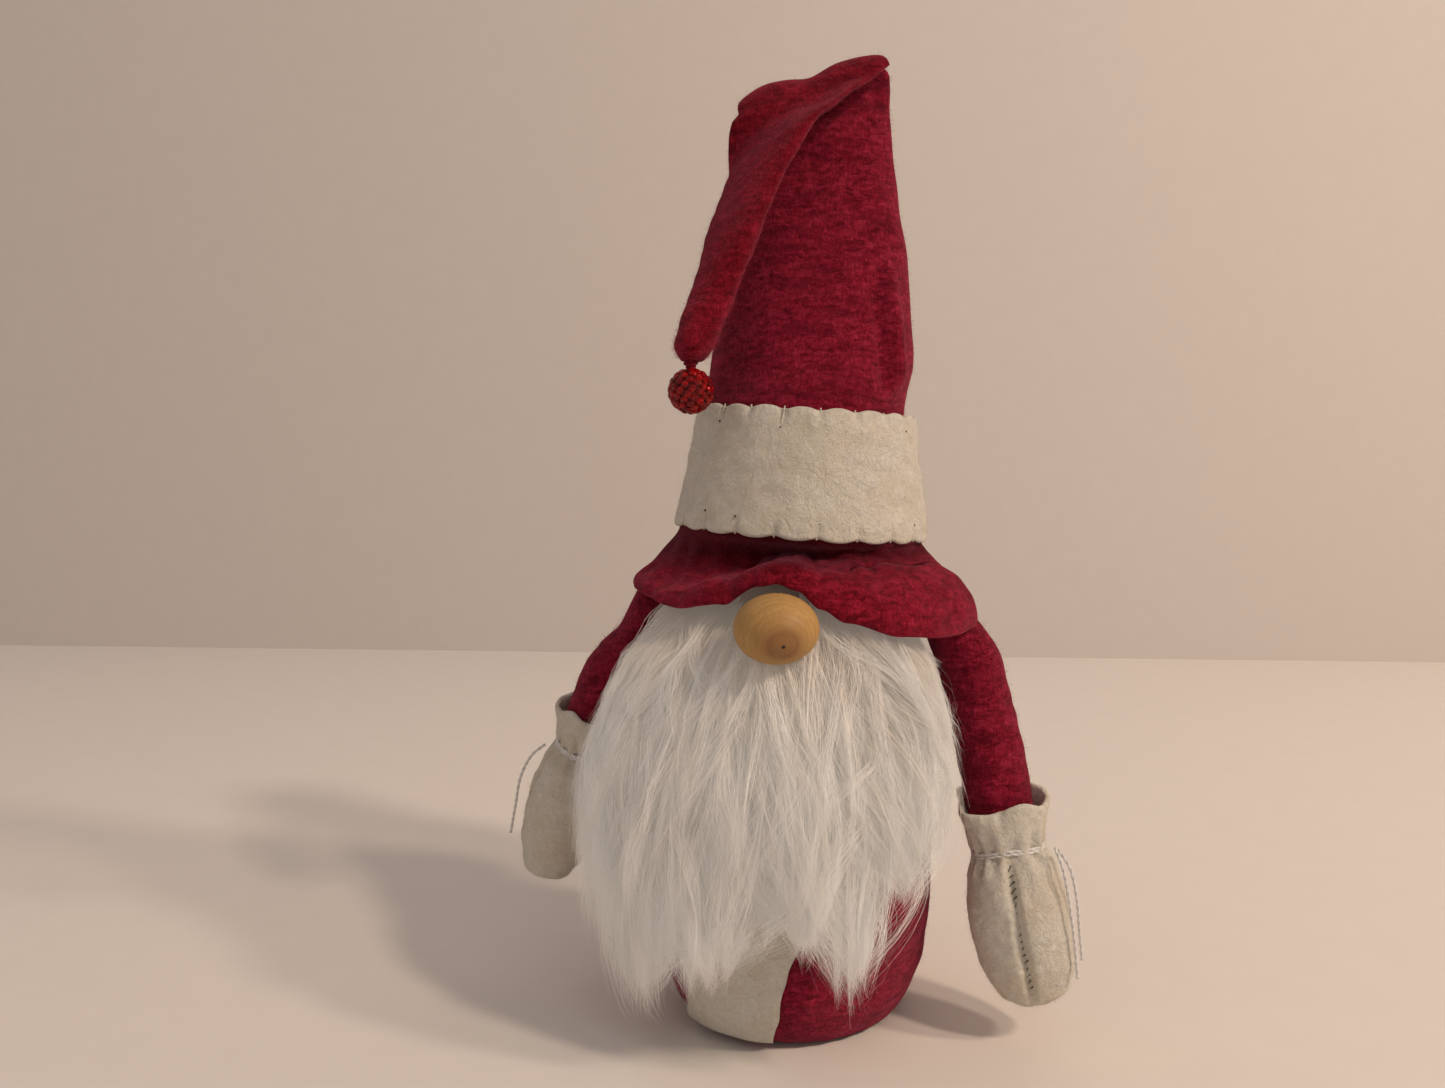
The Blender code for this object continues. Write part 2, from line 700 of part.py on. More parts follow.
def make_seam(side, arm, stations, wrist_joint):
    """The overcast thread down the middle of the mitten's outer face."""
    points = []
    path = (arm["tip"] - arm["wrist"]).normalized()
    across = (arm["width"] - path * arm["width"].dot(path)).normalized()
    face = path.cross(across)
    outward = Vector((0, -1, 0)) + Vector((arm["root"].x * 8, 0, 0))
    face = face if face.dot(outward) > 0 else -face
    for i, (centre, _, half_depth) in enumerate(stations[4:]):
        step = SEAM_STEP if i % 2 else -SEAM_STEP
        points.append(centre + face * (half_depth + SEAM_LIFT) + across * step)
    line = smooth_line(points, 0.003)
    thread = material("seam_thread", SEAM_COLOUR, 0.8)
    carry(wrist_joint, cord_object(f"{side}_mitten_stitching", line, THREAD, thread))


def make_tie(side, arm, wrist_joint):
    """Yarn wound round the wrist, with the ends that hang from its knot."""
    direction = (arm["tip"] - arm["wrist"]).normalized()
    along, half_width, half_depth = MITTEN_PROFILE[TIE_STATION]
    centre = arm["wrist"].lerp(arm["tip"], along / MITTEN_LENGTH)
    across = (arm["width"] - direction * arm["width"].dot(direction)).normalized()
    clear = GAP + YARN * 0.75
    ring = flat_ring(centre, across, direction.cross(across), half_width + clear, half_depth + clear, 20)
    tie = cord_object(f"{side}_wrist_tie", ring, YARN * 1.2, yarn(), closed=True)
    carry(wrist_joint, tie)
    for i, offsets in enumerate(arm["yarn"]):
        line = smooth_line([centre + Vector(offset) for offset in offsets], 0.003)
        carry(wrist_joint, cord_object(f"{side}_yarn_tail_{i + 1}", line, YARN, yarn()))


def make_arm(side, arm):
    """One arm as a chain: a sewn tab, the sleeve and the mitten."""
    swing = joint_empty(f"{side}_arm_swing_axis", arm["root"])
    lift = joint_empty(f"{side}_arm_lift_axis", arm["pivot"], swing)
    wrist = joint_empty(f"{side}_wrist_axis", arm["wrist"], lift)
    line = (arm["pivot"] - arm["root"]).normalized()
    clear = (arm["pivot"] - arm["root"]).length - TAB_CLEARANCE
    tab = [
        (arm["root"] - line * 0.0030, 0.0022, 0.0050),
        (arm["root"], 0.0030, 0.0062),
        (arm["root"] + line * (clear * 0.6), 0.0038, 0.0066),
        (arm["root"] + line * clear, 0.0030, 0.0050),
    ]
    carry(swing, closed_loft(f"{side}_sleeve_tab", limb_rings(tab, Vector((1, 0, 0))), flannel()))
    make_sleeve(side, arm, lift)
    make_mitten(side, arm, wrist)


def main():
    clear_scene()
    make_body()
    make_front()
    ellipsoid("nose", NOSE_CENTRE, NOSE_HALF, material("wood", WOOD_COLOUR, 0.55))
    make_hat()
    make_tail()
    for side, arm in ARMS.items():
        make_arm(side, arm)


main()
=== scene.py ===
"""Looks of the tomte gnome figurine: cloth, fur, felt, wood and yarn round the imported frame."""

import math
import bpy
import numpy as np
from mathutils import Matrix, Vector


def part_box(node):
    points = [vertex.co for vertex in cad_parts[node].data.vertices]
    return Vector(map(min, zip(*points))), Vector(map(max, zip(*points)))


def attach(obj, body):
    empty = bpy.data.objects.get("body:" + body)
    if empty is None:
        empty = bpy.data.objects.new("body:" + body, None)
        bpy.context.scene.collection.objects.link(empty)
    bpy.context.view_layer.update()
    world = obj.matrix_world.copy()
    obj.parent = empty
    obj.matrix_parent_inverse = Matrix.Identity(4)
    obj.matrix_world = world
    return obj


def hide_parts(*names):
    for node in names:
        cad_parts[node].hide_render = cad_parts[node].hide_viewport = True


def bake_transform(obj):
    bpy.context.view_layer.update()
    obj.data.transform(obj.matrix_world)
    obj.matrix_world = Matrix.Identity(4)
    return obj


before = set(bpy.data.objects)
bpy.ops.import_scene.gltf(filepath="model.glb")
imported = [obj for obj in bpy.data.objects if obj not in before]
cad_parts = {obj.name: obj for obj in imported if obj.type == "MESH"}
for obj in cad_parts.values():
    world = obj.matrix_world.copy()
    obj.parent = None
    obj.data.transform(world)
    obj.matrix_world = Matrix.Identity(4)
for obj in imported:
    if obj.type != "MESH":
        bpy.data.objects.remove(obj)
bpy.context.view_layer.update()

# Sizes shared with the frame, in metres
GAP = 0.0003
FELT = 0.0017
BODY_TOP = 0.168
BODY_CENTRE_X = -0.0030
BODY_RADIUS = 0.0470
BODY_RADIUS_Z = 0.048
FOOT_RADIUS = 0.0330
NECK_RADIUS = 0.029
BEARD_LIFT = 0.0062
BAND_HEIGHT = 0.038
BAND_FOOT_Z = 0.1575
BAND_FOOT_RADIUS = 0.0408
BAND_TOP_RADIUS = 0.0350
HAT_SLOPE = -0.065
HAT_LEAN = 0.05
HAT_BULGE = 0.0012
STITCHES = 20
STITCH_DEPTH = 0.0055
RIDGE_MID = np.array([0.0040, 0.0000, 0.2950])
RIDGE_HALF = 0.0248
ROLL_RADIUS = 0.0036
TRIM_WIDTH = 0.030
YARN = 0.0011

CAMERA_AZIMUTH = math.radians(11.0)
CAMERA_PITCH = math.radians(3.9)
CAMERA_YAW = math.radians(4.06)
CAMERA_DISTANCE = 0.36
CAMERA_HEIGHT = 0.177
LENS_MM = 27.18


# ---------------------------------------------------------------- maths


def unit(vectors):
    """Vectors scaled to length one, along the last axis."""
    return vectors / np.maximum(np.linalg.norm(vectors, axis=-1, keepdims=True), 1e-12)


def smooth(value):
    value = np.clip(value, 0.0, 1.0)
    return value * value * (3 - 2 * value)


def ripple(points, wavelength, seed, waves=7):
    """Smooth random height over points, about -1 to 1: a sum of plane waves in seeded directions."""
    rng = np.random.default_rng(seed)
    directions = unit(rng.normal(size=(waves, 3)))
    lengths = wavelength * rng.uniform(0.6, 1.6, waves)
    phases = rng.uniform(0, math.tau, waves)
    points = np.asarray(points, float)
    total = np.zeros(points.shape[:-1])
    for direction, length, phase in zip(directions, lengths, phases):
        total += np.sin(points @ direction * (math.tau / length) + phase)
    return total / math.sqrt(waves) / 1.4


def through(stops, at):
    """A value read smoothly from (place, value) stops, for an array of places."""
    places, values = np.array(stops, float).T
    index = np.clip(np.searchsorted(places, at) - 1, 0, len(places) - 2)
    share = smooth((at - places[index]) / (places[index + 1] - places[index]))
    return values[index] + (values[index + 1] - values[index]) * share


def catmull(points, count):
    """Points evenly placed by parameter on a Catmull-Rom curve through a route."""
    route = np.asarray(points, float)
    padded = np.vstack([2 * route[0] - route[1], route, 2 * route[-1] - route[-2]])
    at = np.linspace(0, len(route) - 1 - 1e-9, count)
    i = at.astype(int)
    t = (at - i)[:, None]
    a, b, c, d = padded[i], padded[i + 1], padded[i + 2], padded[i + 3]
    return 0.5 * (2 * b + (c - a) * t + (2 * a - 5 * b + 4 * c - d) * t**2 + (3 * b - a - 3 * c + d) * t**3)


# ---------------------------------------------------------------- meshes


def new_object(name, points, faces, surface, body=None, smooth_faces=True):
    """One mesh object with its material, riding on a body where one is given."""
    data = bpy.data.meshes.new(name)
    data.from_pydata(np.asarray(points, float).reshape(-1, 3).tolist(), [], faces)
    data.update()
    obj = bpy.data.objects.new(name, data)
    bpy.context.collection.objects.link(obj)
    data.materials.append(surface)
    data.polygons.foreach_set("use_smooth", [smooth_faces] * len(data.polygons))
    if body:
        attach(obj, body)
    return obj


def grid_faces(rows, columns, closed_columns=True, offset=0, flip=False):
    """Quads over a grid of points stored row by row."""
    faces = []
    for r in range(rows - 1):
        for c in range(columns if closed_columns else columns - 1):
            d = (c + 1) % columns
            quad = (r * columns + c, r * columns + d, (r + 1) * columns + d, (r + 1) * columns + c)
            quad = tuple(offset + i for i in quad)
            faces.append(quad[::-1] if flip else quad)
    return faces


def capped_faces(rows, columns, first=True):
    """Faces of a closed tube of rings, with its last ring filled and, if asked, its first."""
    faces = grid_faces(rows, columns)
    if first:
        faces.append(tuple(range(columns))[::-1])
    faces.append(tuple((rows - 1) * columns + i for i in range(columns)))
    return faces


def grid_normals(grid, closed_columns=True):
    """Unit normals of a grid of points, by its rows and columns."""
    along = np.gradient(grid, axis=0)
    if closed_columns:
        wrapped = np.concatenate([grid[:, -1:], grid, grid[:, :1]], axis=1)
        across = (wrapped[:, 2:] - wrapped[:, :-2]) / 2
    else:
        across = np.gradient(grid, axis=1)
    return unit(np.cross(across, along))


def thick_sheet(grid, thickness, closed_columns=True, rounded=3):
    """A cloth of some thickness: the grid is its outer face, and its free edges are rounded."""
    normals = grid_normals(grid, closed_columns)
    inner = grid - normals * thickness
    rows = [grid]
    for k in range(1, rounded + 1):
        angle = math.pi * k / (rounded + 1)
        out = unit(grid[-1] - grid[-2]) * (math.sin(angle) * thickness / 2)
        rows.append((grid[-1] - normals[-1] * thickness * (1 - math.cos(angle)) / 2 + out)[None])
    rows.append(inner[::-1])
    for k in range(1, rounded + 1):
        angle = math.pi * k / (rounded + 1)
        out = unit(grid[0] - grid[1]) * (math.sin(angle) * thickness / 2)
        rows.append((inner[0] + normals[0] * thickness * (1 - math.cos(angle)) / 2 + out)[None])
    points = np.concatenate(rows)
    count, columns = points.shape[:2]
    faces = grid_faces(count, columns, closed_columns)
    for c in range(columns if closed_columns else columns - 1):
        d = (c + 1) % columns
        faces.append(((count - 1) * columns + c, (count - 1) * columns + d, d, c))
    if not closed_columns:
        half = count // 2
        for edge in (0, columns - 1):
            for r in range(half):
                other = count - 1 - r
                quad = (r * columns + edge, (r + 1) * columns + edge, other * columns + edge)
                if r + 1 < other - 1:
                    quad = (*quad[:2], (other - 1) * columns + edge, quad[2])
                faces.append(quad if edge == 0 else quad[::-1])
    return points.reshape(-1, 3), faces


def tube(path, radius, sides=8, twist=0.0, start=0.0):
    """Points and faces of a round tube with closed ends along a path. radius may vary along it."""
    path = np.asarray(path, float)
    count = len(path)
    tangents = unit(np.gradient(path, axis=0))
    normal = unit(np.cross(tangents[0], [0.31, 0.87, 0.38]))
    frames = []
    for t in tangents:
        normal = unit(normal - t * (normal @ t))
        frames.append((normal, np.cross(t, normal)))
    radii = np.broadcast_to(radius, count)
    angles = np.arange(sides) * math.tau / sides
    rings = []
    for i, (a, b) in enumerate(frames):
        turned = angles + start + twist * i
        rings.append(path[i] + radii[i] * (np.outer(np.cos(turned), a) + np.outer(np.sin(turned), b)))
    points = np.concatenate(rings)
    faces = grid_faces(count, sides)
    faces.append(tuple(range(sides))[::-1])
    faces.append(tuple((count - 1) * sides + i for i in range(sides)))
    return points, faces


def joined(parts):
    """Several (points, faces) as one."""
    points, faces, offset = [], [], 0
    for part_points, part_faces in parts:
        points.append(part_points)
        faces += [tuple(i + offset for i in face) for face in part_faces]
        offset += len(part_points)
    return np.concatenate(points), faces


def strand_objects(name, paths, radii, tones, surface, move, most=3400):
    """Tapered three-sided fibres as meshes. paths is fibre by point by xyz."""
    made = []
    for part, first in enumerate(range(0, len(paths), most)):
        p, r, tone = (x[first : first + most] for x in (paths, radii, tones))
        n, k = p.shape[:2]
        tangents = unit(np.gradient(p, axis=1))
        side = unit(np.cross(tangents, np.array([0.21, 0.33, 0.92])))
        other = np.cross(tangents, side)
        angles = np.arange(3) * math.tau / 3
        ring = np.cos(angles)[:, None] * side[:, :, None] + np.sin(angles)[:, None] * other[:, :, None]
        points = (p[:, :, None] + ring * r[:, :, None, None]).reshape(-1, 3)
        base = (np.arange(n) * k * 3)[:, None, None] + (np.arange(k - 1) * 3)[:, None]
        a = base + np.arange(3)
        b = base + (np.arange(3) + 1) % 3
        quads = np.stack([a, b, b + 3, a + 3], axis=-1).reshape(-1, 4)
        data = bpy.data.meshes.new(f"{name}_{part + 1}")
        data.vertices.add(len(points))
        data.vertices.foreach_set("co", points.astype(np.float32).ravel())
        data.loops.add(quads.size)
        data.loops.foreach_set("vertex_index", quads.astype(np.int32).ravel())
        data.polygons.add(len(quads))
        data.polygons.foreach_set("loop_start", np.arange(0, quads.size, 4, dtype=np.int32))
        data.update(calc_edges=True)
        uv = data.uv_layers.new(name="OFBake")
        along = (quads // 3) % k / (k - 1)
        across = tone[quads // (3 * k)]
        uv.data.foreach_set("uv", np.stack([across, along], -1).astype(np.float32).ravel())
        data.polygons.foreach_set("use_smooth", [True] * len(quads))
        data.materials.append(surface)
        obj = bpy.data.objects.new(data.name, data)
        bpy.context.collection.objects.link(obj)
        move(obj)
        made.append(obj)
    return made


def riding(body):
    """A function that makes an object ride on a body."""
    return lambda obj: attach(obj, body)


def nap(name, grid, count, length, surface, move, seed, normals=None):
    """Short loose fibres that stand off a cloth's face."""
    rng = np.random.default_rng(seed)
    normals = grid_normals(grid) if normals is None else normals
    row = rng.integers(2, len(grid) - 2, count)
    column = rng.integers(0, grid.shape[1], count)
    beside = (column + 1) % grid.shape[1]
    share = rng.uniform(0, 1, (count, 1))
    down = rng.uniform(0, 1, (count, 1))
    root = grid[row, column] * (1 - share) + grid[row, beside] * share
    root = root * (1 - down) + grid[row + 1, column] * down
    out = normals[row, column]
    lean = unit(rng.normal(size=(count, 3)))
    reach = length * rng.uniform(0.4, 1.3, (count, 1))
    steps = np.linspace(0, 1, 4)[None, :, None]
    way = unit(out * rng.uniform(0.25, 0.9, (count, 1)) + lean * 0.7)
    bend = unit(rng.normal(size=(count, 3)))
    straight, curved = way[:, None] * steps, bend[:, None] * 0.35 * steps**2
    paths = (root - out * 0.0002)[:, None] + (straight + curved) * reach[:, None]
    radii = np.full((count, 1), 0.000028) * (1 - 0.5 * steps[..., 0])
    for obj in strand_objects(name, paths, radii, rng.uniform(0, 1, count), surface, move, 20000):
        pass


# ---------------------------------------------------------------- materials


class Nodes:
    """Short calls for building one material's node tree."""

    def __init__(self, name, roughness=0.9, **sockets):
        self.material = bpy.data.materials.new(name)
        self.material.use_nodes = True
        self.tree = self.material.node_tree
        self.shader = self.tree.nodes["Principled BSDF"]
        self.shader.inputs["Roughness"].default_value = roughness
        for socket, value in sockets.items():
            self.shader.inputs[socket.replace("_", " ")].default_value = value
        self.object_coords = self.tree.nodes.new("ShaderNodeTexCoord").outputs["Object"]

    def link(self, output, target):
        self.tree.links.new(output, target)
        return output

    def mapped(self, scale, turn=(0, 0, 0)):
        node = self.tree.nodes.new("ShaderNodeMapping")
        node.inputs["Scale"].default_value = scale
        node.inputs["Rotation"].default_value = turn
        self.link(self.object_coords, node.inputs["Vector"])
        return node.outputs[0]

    def noise(self, vector, scale=1.0, detail=2.0, roughness=0.5, distortion=0.0):
        node = self.tree.nodes.new("ShaderNodeTexNoise")
        sockets = {"Scale": scale, "Detail": detail, "Roughness": roughness, "Distortion": distortion}
        for name, value in sockets.items():
            node.inputs[name].default_value = value
        self.link(vector, node.inputs["Vector"])
        return node.outputs["Fac"]

    def ramp(self, factor, stops, smooth_ramp=False):
        node = self.tree.nodes.new("ShaderNodeValToRGB")
        elements = node.color_ramp.elements
        node.color_ramp.interpolation = "EASE" if smooth_ramp else "LINEAR"
        while len(elements) < len(stops):
            elements.new(0.5)
        for element, (place, colour) in zip(elements, stops):
            element.position = place
            element.color = (*colour, 1.0) if isinstance(colour, tuple) else (colour, colour, colour, 1.0)
        self.link(factor, node.inputs["Fac"])
        return node.outputs["Color"]

    def mix(self, factor, first, second, kind="MIX"):
        node = self.tree.nodes.new("ShaderNodeMix")
        node.data_type = "RGBA"
        node.blend_type = kind
        for value, socket in ((factor, node.inputs[0]), (first, node.inputs[6]), (second, node.inputs[7])):
            if isinstance(value, (int, float)):
                socket.default_value = value
            elif isinstance(value, tuple):
                socket.default_value = (*value, 1.0)
            else:
                self.link(value, socket)
        return node.outputs[2]

    def maths(self, kind, first, second):
        node = self.tree.nodes.new("ShaderNodeMath")
        node.operation = kind
        for value, socket in ((first, node.inputs[0]), (second, node.inputs[1])):
            if isinstance(value, (int, float)):
                socket.default_value = value
            else:
                self.link(value, socket)
        return node.outputs[0]

    def colour(self, output):
        self.link(output, self.shader.inputs["Base Color"])

    def bump(self, height, distance, strength=1.0):
        node = self.tree.nodes.new("ShaderNodeBump")
        node.inputs["Distance"].default_value = distance
        node.inputs["Strength"].default_value = strength
        self.link(height, node.inputs["Height"])
        self.link(node.outputs[0], self.shader.inputs["Normal"])


def flannel_material(name, deep, mid, light, sheen=0.32, dim_above=None):
    """Brushed heathered flannel: short dark streaks across, fine ribs down, lint and a soft nap.

    dim_above is a height above which the cloth is painted darker, as if in its own shade.
    """
    n = Nodes(name, 0.95, Sheen_Weight=sheen, Sheen_Roughness=0.32, Sheen_Tint=(1.0, 0.30, 0.45, 1.0))
    n.shader.inputs["Specular IOR Level"].default_value = 0.05
    streaks = n.noise(n.mapped((300, 300, 620)), 1.0, 3.0, 0.65, 0.8)
    patches = n.noise(n.mapped((62, 62, 250)), 1.0, 4.0, 0.62, 0.5)
    ribs = n.noise(n.mapped((1500, 1500, 160)), 1.0, 1.0, 0.5)
    fibres = n.noise(n.mapped((1100, 1100, 1100)), 1.0, 3.0, 0.75, 2.0)
    heather = n.ramp(streaks, [(0.34, deep), (0.48, mid), (0.70, light)])
    toned = n.mix(n.ramp(patches, [(0.47, 0.0), (0.68, 0.65)]), heather, tuple(c * 0.7 for c in deep))
    ribbed = n.mix(n.ramp(ribs, [(0.40, 0.0), (0.62, 0.50)]), toned, deep)
    if dim_above:
        split = n.tree.nodes.new("ShaderNodeSeparateXYZ")
        n.link(n.object_coords, split.inputs[0])
        rise = n.maths("MULTIPLY", n.maths("SUBTRACT", split.outputs[2], dim_above), 100.0)
        ribbed = n.mix(n.ramp(rise, [(0.0, 0.0), (0.45, 0.80)]), ribbed, tuple(c * 0.30 for c in deep))
    lint = tuple(min(1.0, c * 1.5 + 0.015) for c in light)
    n.colour(n.mix(n.ramp(fibres, [(0.58, 0.0), (0.78, 0.60)]), ribbed, lint))
    nap_height = n.maths("ADD", fibres, n.maths("MULTIPLY", streaks, 0.6))
    height = n.maths("ADD", n.maths("MULTIPLY", ribs, 0.4), nap_height)
    n.bump(height, 0.0007, 0.8)
    return n.material


def felt_material(name, base, stain, stain_share=0.4):
    """Craft felt: matted fibres, soft lumps and uneven yellowing."""
    n = Nodes(name, 0.95, Sheen_Weight=0.12, Sheen_Roughness=0.6)
    n.shader.inputs["Specular IOR Level"].default_value = 0.08
    fibres = n.noise(n.mapped((520, 520, 520)), 1.0, 6.0, 0.72, 2.2)
    lumps = n.noise(n.mapped((230, 230, 230)), 1.0, 3.0, 0.6, 0.8)
    stains = n.noise(n.mapped((42, 42, 36)), 1.0, 4.0, 0.62)
    shaded = n.mix(n.ramp(fibres, [(0.30, 0.55), (0.55, 0.0)]), base, tuple(c * 0.66 for c in base))
    hollow = tuple(c * f for c, f in zip(base, (0.82, 0.76, 0.62)))
    lumpy = n.mix(n.ramp(lumps, [(0.34, 0.35), (0.56, 0.0)]), shaded, hollow)
    n.colour(n.mix(n.ramp(stains, [(0.44, 0.0), (0.72, stain_share)]), lumpy, stain))
    n.bump(n.maths("ADD", n.maths("MULTIPLY", lumps, 1.6), n.maths("MULTIPLY", fibres, 1.0)), 0.0010, 0.8)
    return n.material


def fur_material():
    """Long synthetic pile: each fibre has its own tone, darker and warmer toward its root as painted shade of
    the dense pile.

    Its weak emission stands for the light that real pile scatters within itself.
    """
    n = Nodes("fur", 0.38, Sheen_Weight=0.35, Sheen_Roughness=0.4)
    n.shader.inputs["Specular IOR Level"].default_value = 0.5
    n.shader.inputs["Emission Color"].default_value = (1.0, 0.93, 0.86, 1.0)
    n.shader.inputs["Emission Strength"].default_value = 0.075
    uv = n.tree.nodes.new("ShaderNodeUVMap")
    uv.uv_map = "OFBake"
    split = n.tree.nodes.new("ShaderNodeSeparateXYZ")
    n.link(uv.outputs[0], split.inputs[0])
    tones = [(0.0, (0.84, 0.78, 0.68)), (0.35, (0.96, 0.935, 0.895)), (1.0, (0.99, 0.98, 0.97))]
    tone = n.ramp(split.outputs[0], tones)
    # darker, warmer colour toward each fibre's root: painted shade deep in the pile
    root = n.ramp(split.outputs[1], [(0.0, 1.0), (0.60, 0.0)])
    n.colour(n.mix(root, tone, (0.62, 0.51, 0.38)))
    return n.material


def wood_material(pole):
    """Turned wood: growth rings about a knot near the nose's lower front, and grain down from it."""
    n = Nodes("turned_wood", 0.55, Coat_Weight=0.06, Coat_Roughness=0.4)
    n.shader.inputs["Specular IOR Level"].default_value = 0.3
    place = n.tree.nodes.new("ShaderNodeVectorMath")
    place.operation = "DISTANCE"
    n.link(n.object_coords, place.inputs[0])
    place.inputs[1].default_value = pole
    away = place.outputs["Value"]
    wobble = n.noise(n.mapped((160, 160, 160)), 1.0, 2.0, 0.5)
    rings = n.maths("ADD", n.maths("MULTIPLY", away, 520.0), n.maths("MULTIPLY", wobble, 1.6))
    banded = n.maths("FRACT", rings, 0.0)
    grain = n.noise(n.mapped((1100, 1100, 60)), 1.0, 3.0, 0.6)
    soft = n.ramp(banded, [(0.0, 0.0), (0.55, 0.30), (0.92, 0.50), (1.0, 0.0)])
    toned = n.mix(soft, (0.49, 0.285, 0.095), (0.35, 0.190, 0.06))
    warm = n.ramp(n.maths("MULTIPLY", away, 100.0), [(0.0, 0.70), (0.42, 0.90), (0.56, 0.45), (1.0, 0.0)])
    browned = n.mix(warm, toned, (0.235, 0.105, 0.040))
    grained = n.mix(n.ramp(grain, [(0.42, 0.0), (0.68, 0.45)]), browned, (0.30, 0.17, 0.055))
    dot = n.ramp(n.maths("MULTIPLY", away, 100.0), [(0.045, 0.95), (0.075, 0.0)])
    n.colour(n.mix(dot, grained, (0.02, 0.01, 0.008)))
    n.bump(n.maths("ADD", grain, banded), 0.0001, 0.25)
    return n.material


def yarn_material(name, colour):
    """Soft spun yarn with a fine fibre texture."""
    n = Nodes(name, 0.9, Sheen_Weight=0.4)
    fibres = n.noise(n.mapped((1500, 1500, 1500)), 1.0, 3.0, 0.6, 1.0)
    n.colour(n.mix(n.ramp(fibres, [(0.35, 0.35), (0.65, 0.0)]), colour, tuple(c * 0.6 for c in colour)))
    n.bump(fibres, 0.0003, 0.5)
    return n.material


def bead_material(name, colour, roughness):
    """Red crystal with slightly different tone from stone to stone."""
    n = Nodes(name, roughness, Coat_Weight=0.25, Coat_Roughness=0.03, Coat_Tint=(1.0, 0.3, 0.3, 1.0))
    n.shader.inputs["Specular IOR Level"].default_value = 0.6
    n.shader.inputs["Specular Tint"].default_value = (1.0, 0.25, 0.25, 1.0)
    stones = n.noise(n.mapped((420, 420, 420)), 1.0, 1.0, 0.5)
    n.colour(n.mix(n.ramp(stones, [(0.4, 0.0), (0.6, 1.0)]), colour, tuple(c * 0.35 for c in colour)))
    return n.material


def plain_material(name, colour, scale, roughness=0.95):
    """A hidden filling or card, or the painted shade inside a needle hole, with a slight mottle."""
    n = Nodes(name, roughness)
    mottle = n.noise(n.mapped((scale, scale, scale)), 1.0, 4.0, 0.6)
    n.colour(n.mix(n.ramp(mottle, [(0.35, 0.4), (0.65, 0.0)]), colour, tuple(c * 0.75 for c in colour)))
    n.bump(mottle, 0.0006, 0.5)
    return n.material


FLANNEL_CLOTH = flannel_material(
    "flannel_cloth", (0.110, 0.0036, 0.0125), (0.255, 0.0095, 0.0300), (0.40, 0.0270, 0.0640)
)
BRIM_CLOTH = flannel_material(
    "brim_cloth", (0.110, 0.0030, 0.0100), (0.255, 0.0080, 0.0240), (0.40, 0.0200, 0.0480), dim_above=0.1465
)
# The tail's flannel is the hat's flannel made darker: painted shade of the tail's face.
SHADED_TAIL_CLOTH = flannel_material(
    "tail_cloth_painted_shade", (0.105, 0.0028, 0.0085), (0.225, 0.0068, 0.0190), (0.36, 0.0165, 0.0390)
)
FELT_CLOTH = felt_material("felt_cloth", (0.73, 0.700, 0.635), (0.62, 0.535, 0.37))
MITTEN_FELT = felt_material("mitten_felt", (0.76, 0.725, 0.650), (0.62, 0.505, 0.34), 0.6)
FUZZ_RED = bpy.data.materials.new("fuzz_red")
FUZZ_RED.use_nodes = True
FUZZ_RED.node_tree.nodes["Principled BSDF"].inputs["Base Color"].default_value = (0.36, 0.025, 0.06, 1.0)
FUZZ_WHITE = bpy.data.materials.new("fuzz_white")
FUZZ_WHITE.use_nodes = True
FUZZ_WHITE.node_tree.nodes["Principled BSDF"].inputs["Base Color"].default_value = (0.72, 0.70, 0.65, 1.0)
FUR = fur_material()
YARN_WHITE = yarn_material("yarn_white", (0.78, 0.77, 0.76))
THREAD_CREAM = yarn_material("thread_cream", (0.62, 0.58, 0.48))
THREAD_OLIVE = yarn_material("thread_olive", (0.13, 0.11, 0.055))
KNIT_BACKING = plain_material("knit_backing", (0.62, 0.60, 0.56), 900)
WADDING = plain_material("wadding_fibre", (0.80, 0.79, 0.77), 300)
# Near-black plugs sunk in the needle holes: painted shade of the holes.
NEEDLE_HOLE_SHADE = plain_material("needle_hole_painted_shade", (0.045, 0.03, 0.018), 900)
CARD = plain_material("grey_card", (0.36, 0.30, 0.23), 500)
POUCH = plain_material("calico", (0.55, 0.50, 0.42), 700)


def dress_hidden_nodes():
    """Materials for the pieces of the frame that stay as they are, inside the cloth."""
    looks = {"base_card": CARD, "weight_pouch": POUCH, "base_panel": FLANNEL_CLOTH}
    for name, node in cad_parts.items():
        surface = looks.get(name, WADDING if "stuffing" in name or "wadding" in name else None)
        if surface is None and name.endswith("sleeve_tab"):
            surface = FLANNEL_CLOTH
        if surface:
            node.data.materials.clear()
            node.data.materials.append(surface)


# ---------------------------------------------------------------- camera, floor and light


def make_camera():
    """The photograph's viewpoint: level with the hat band, a little to the gnome's left."""
    right = np.array([math.cos(CAMERA_AZIMUTH), math.sin(CAMERA_AZIMUTH), 0])
    ahead = np.array([-math.sin(CAMERA_AZIMUTH), math.cos(CAMERA_AZIMUTH), 0])
    place = -CAMERA_DISTANCE * ahead + np.array([0, 0, CAMERA_HEIGHT])
    look = math.cos(CAMERA_YAW) * ahead - math.sin(CAMERA_YAW) * right
    look = math.cos(CAMERA_PITCH) * look + np.array([0, 0, -math.sin(CAMERA_PITCH)])
    data = bpy.data.cameras.new("camera")
    data.lens = LENS_MM
    data.sensor_width = 36.0
    data.clip_start = 0.01
    camera = bpy.data.objects.new("camera", data)
    bpy.context.collection.objects.link(camera)
    camera.location = place
    camera.rotation_euler = Vector(look).to_track_quat("-Z", "Y").to_euler()
    bpy.context.scene.camera = camera


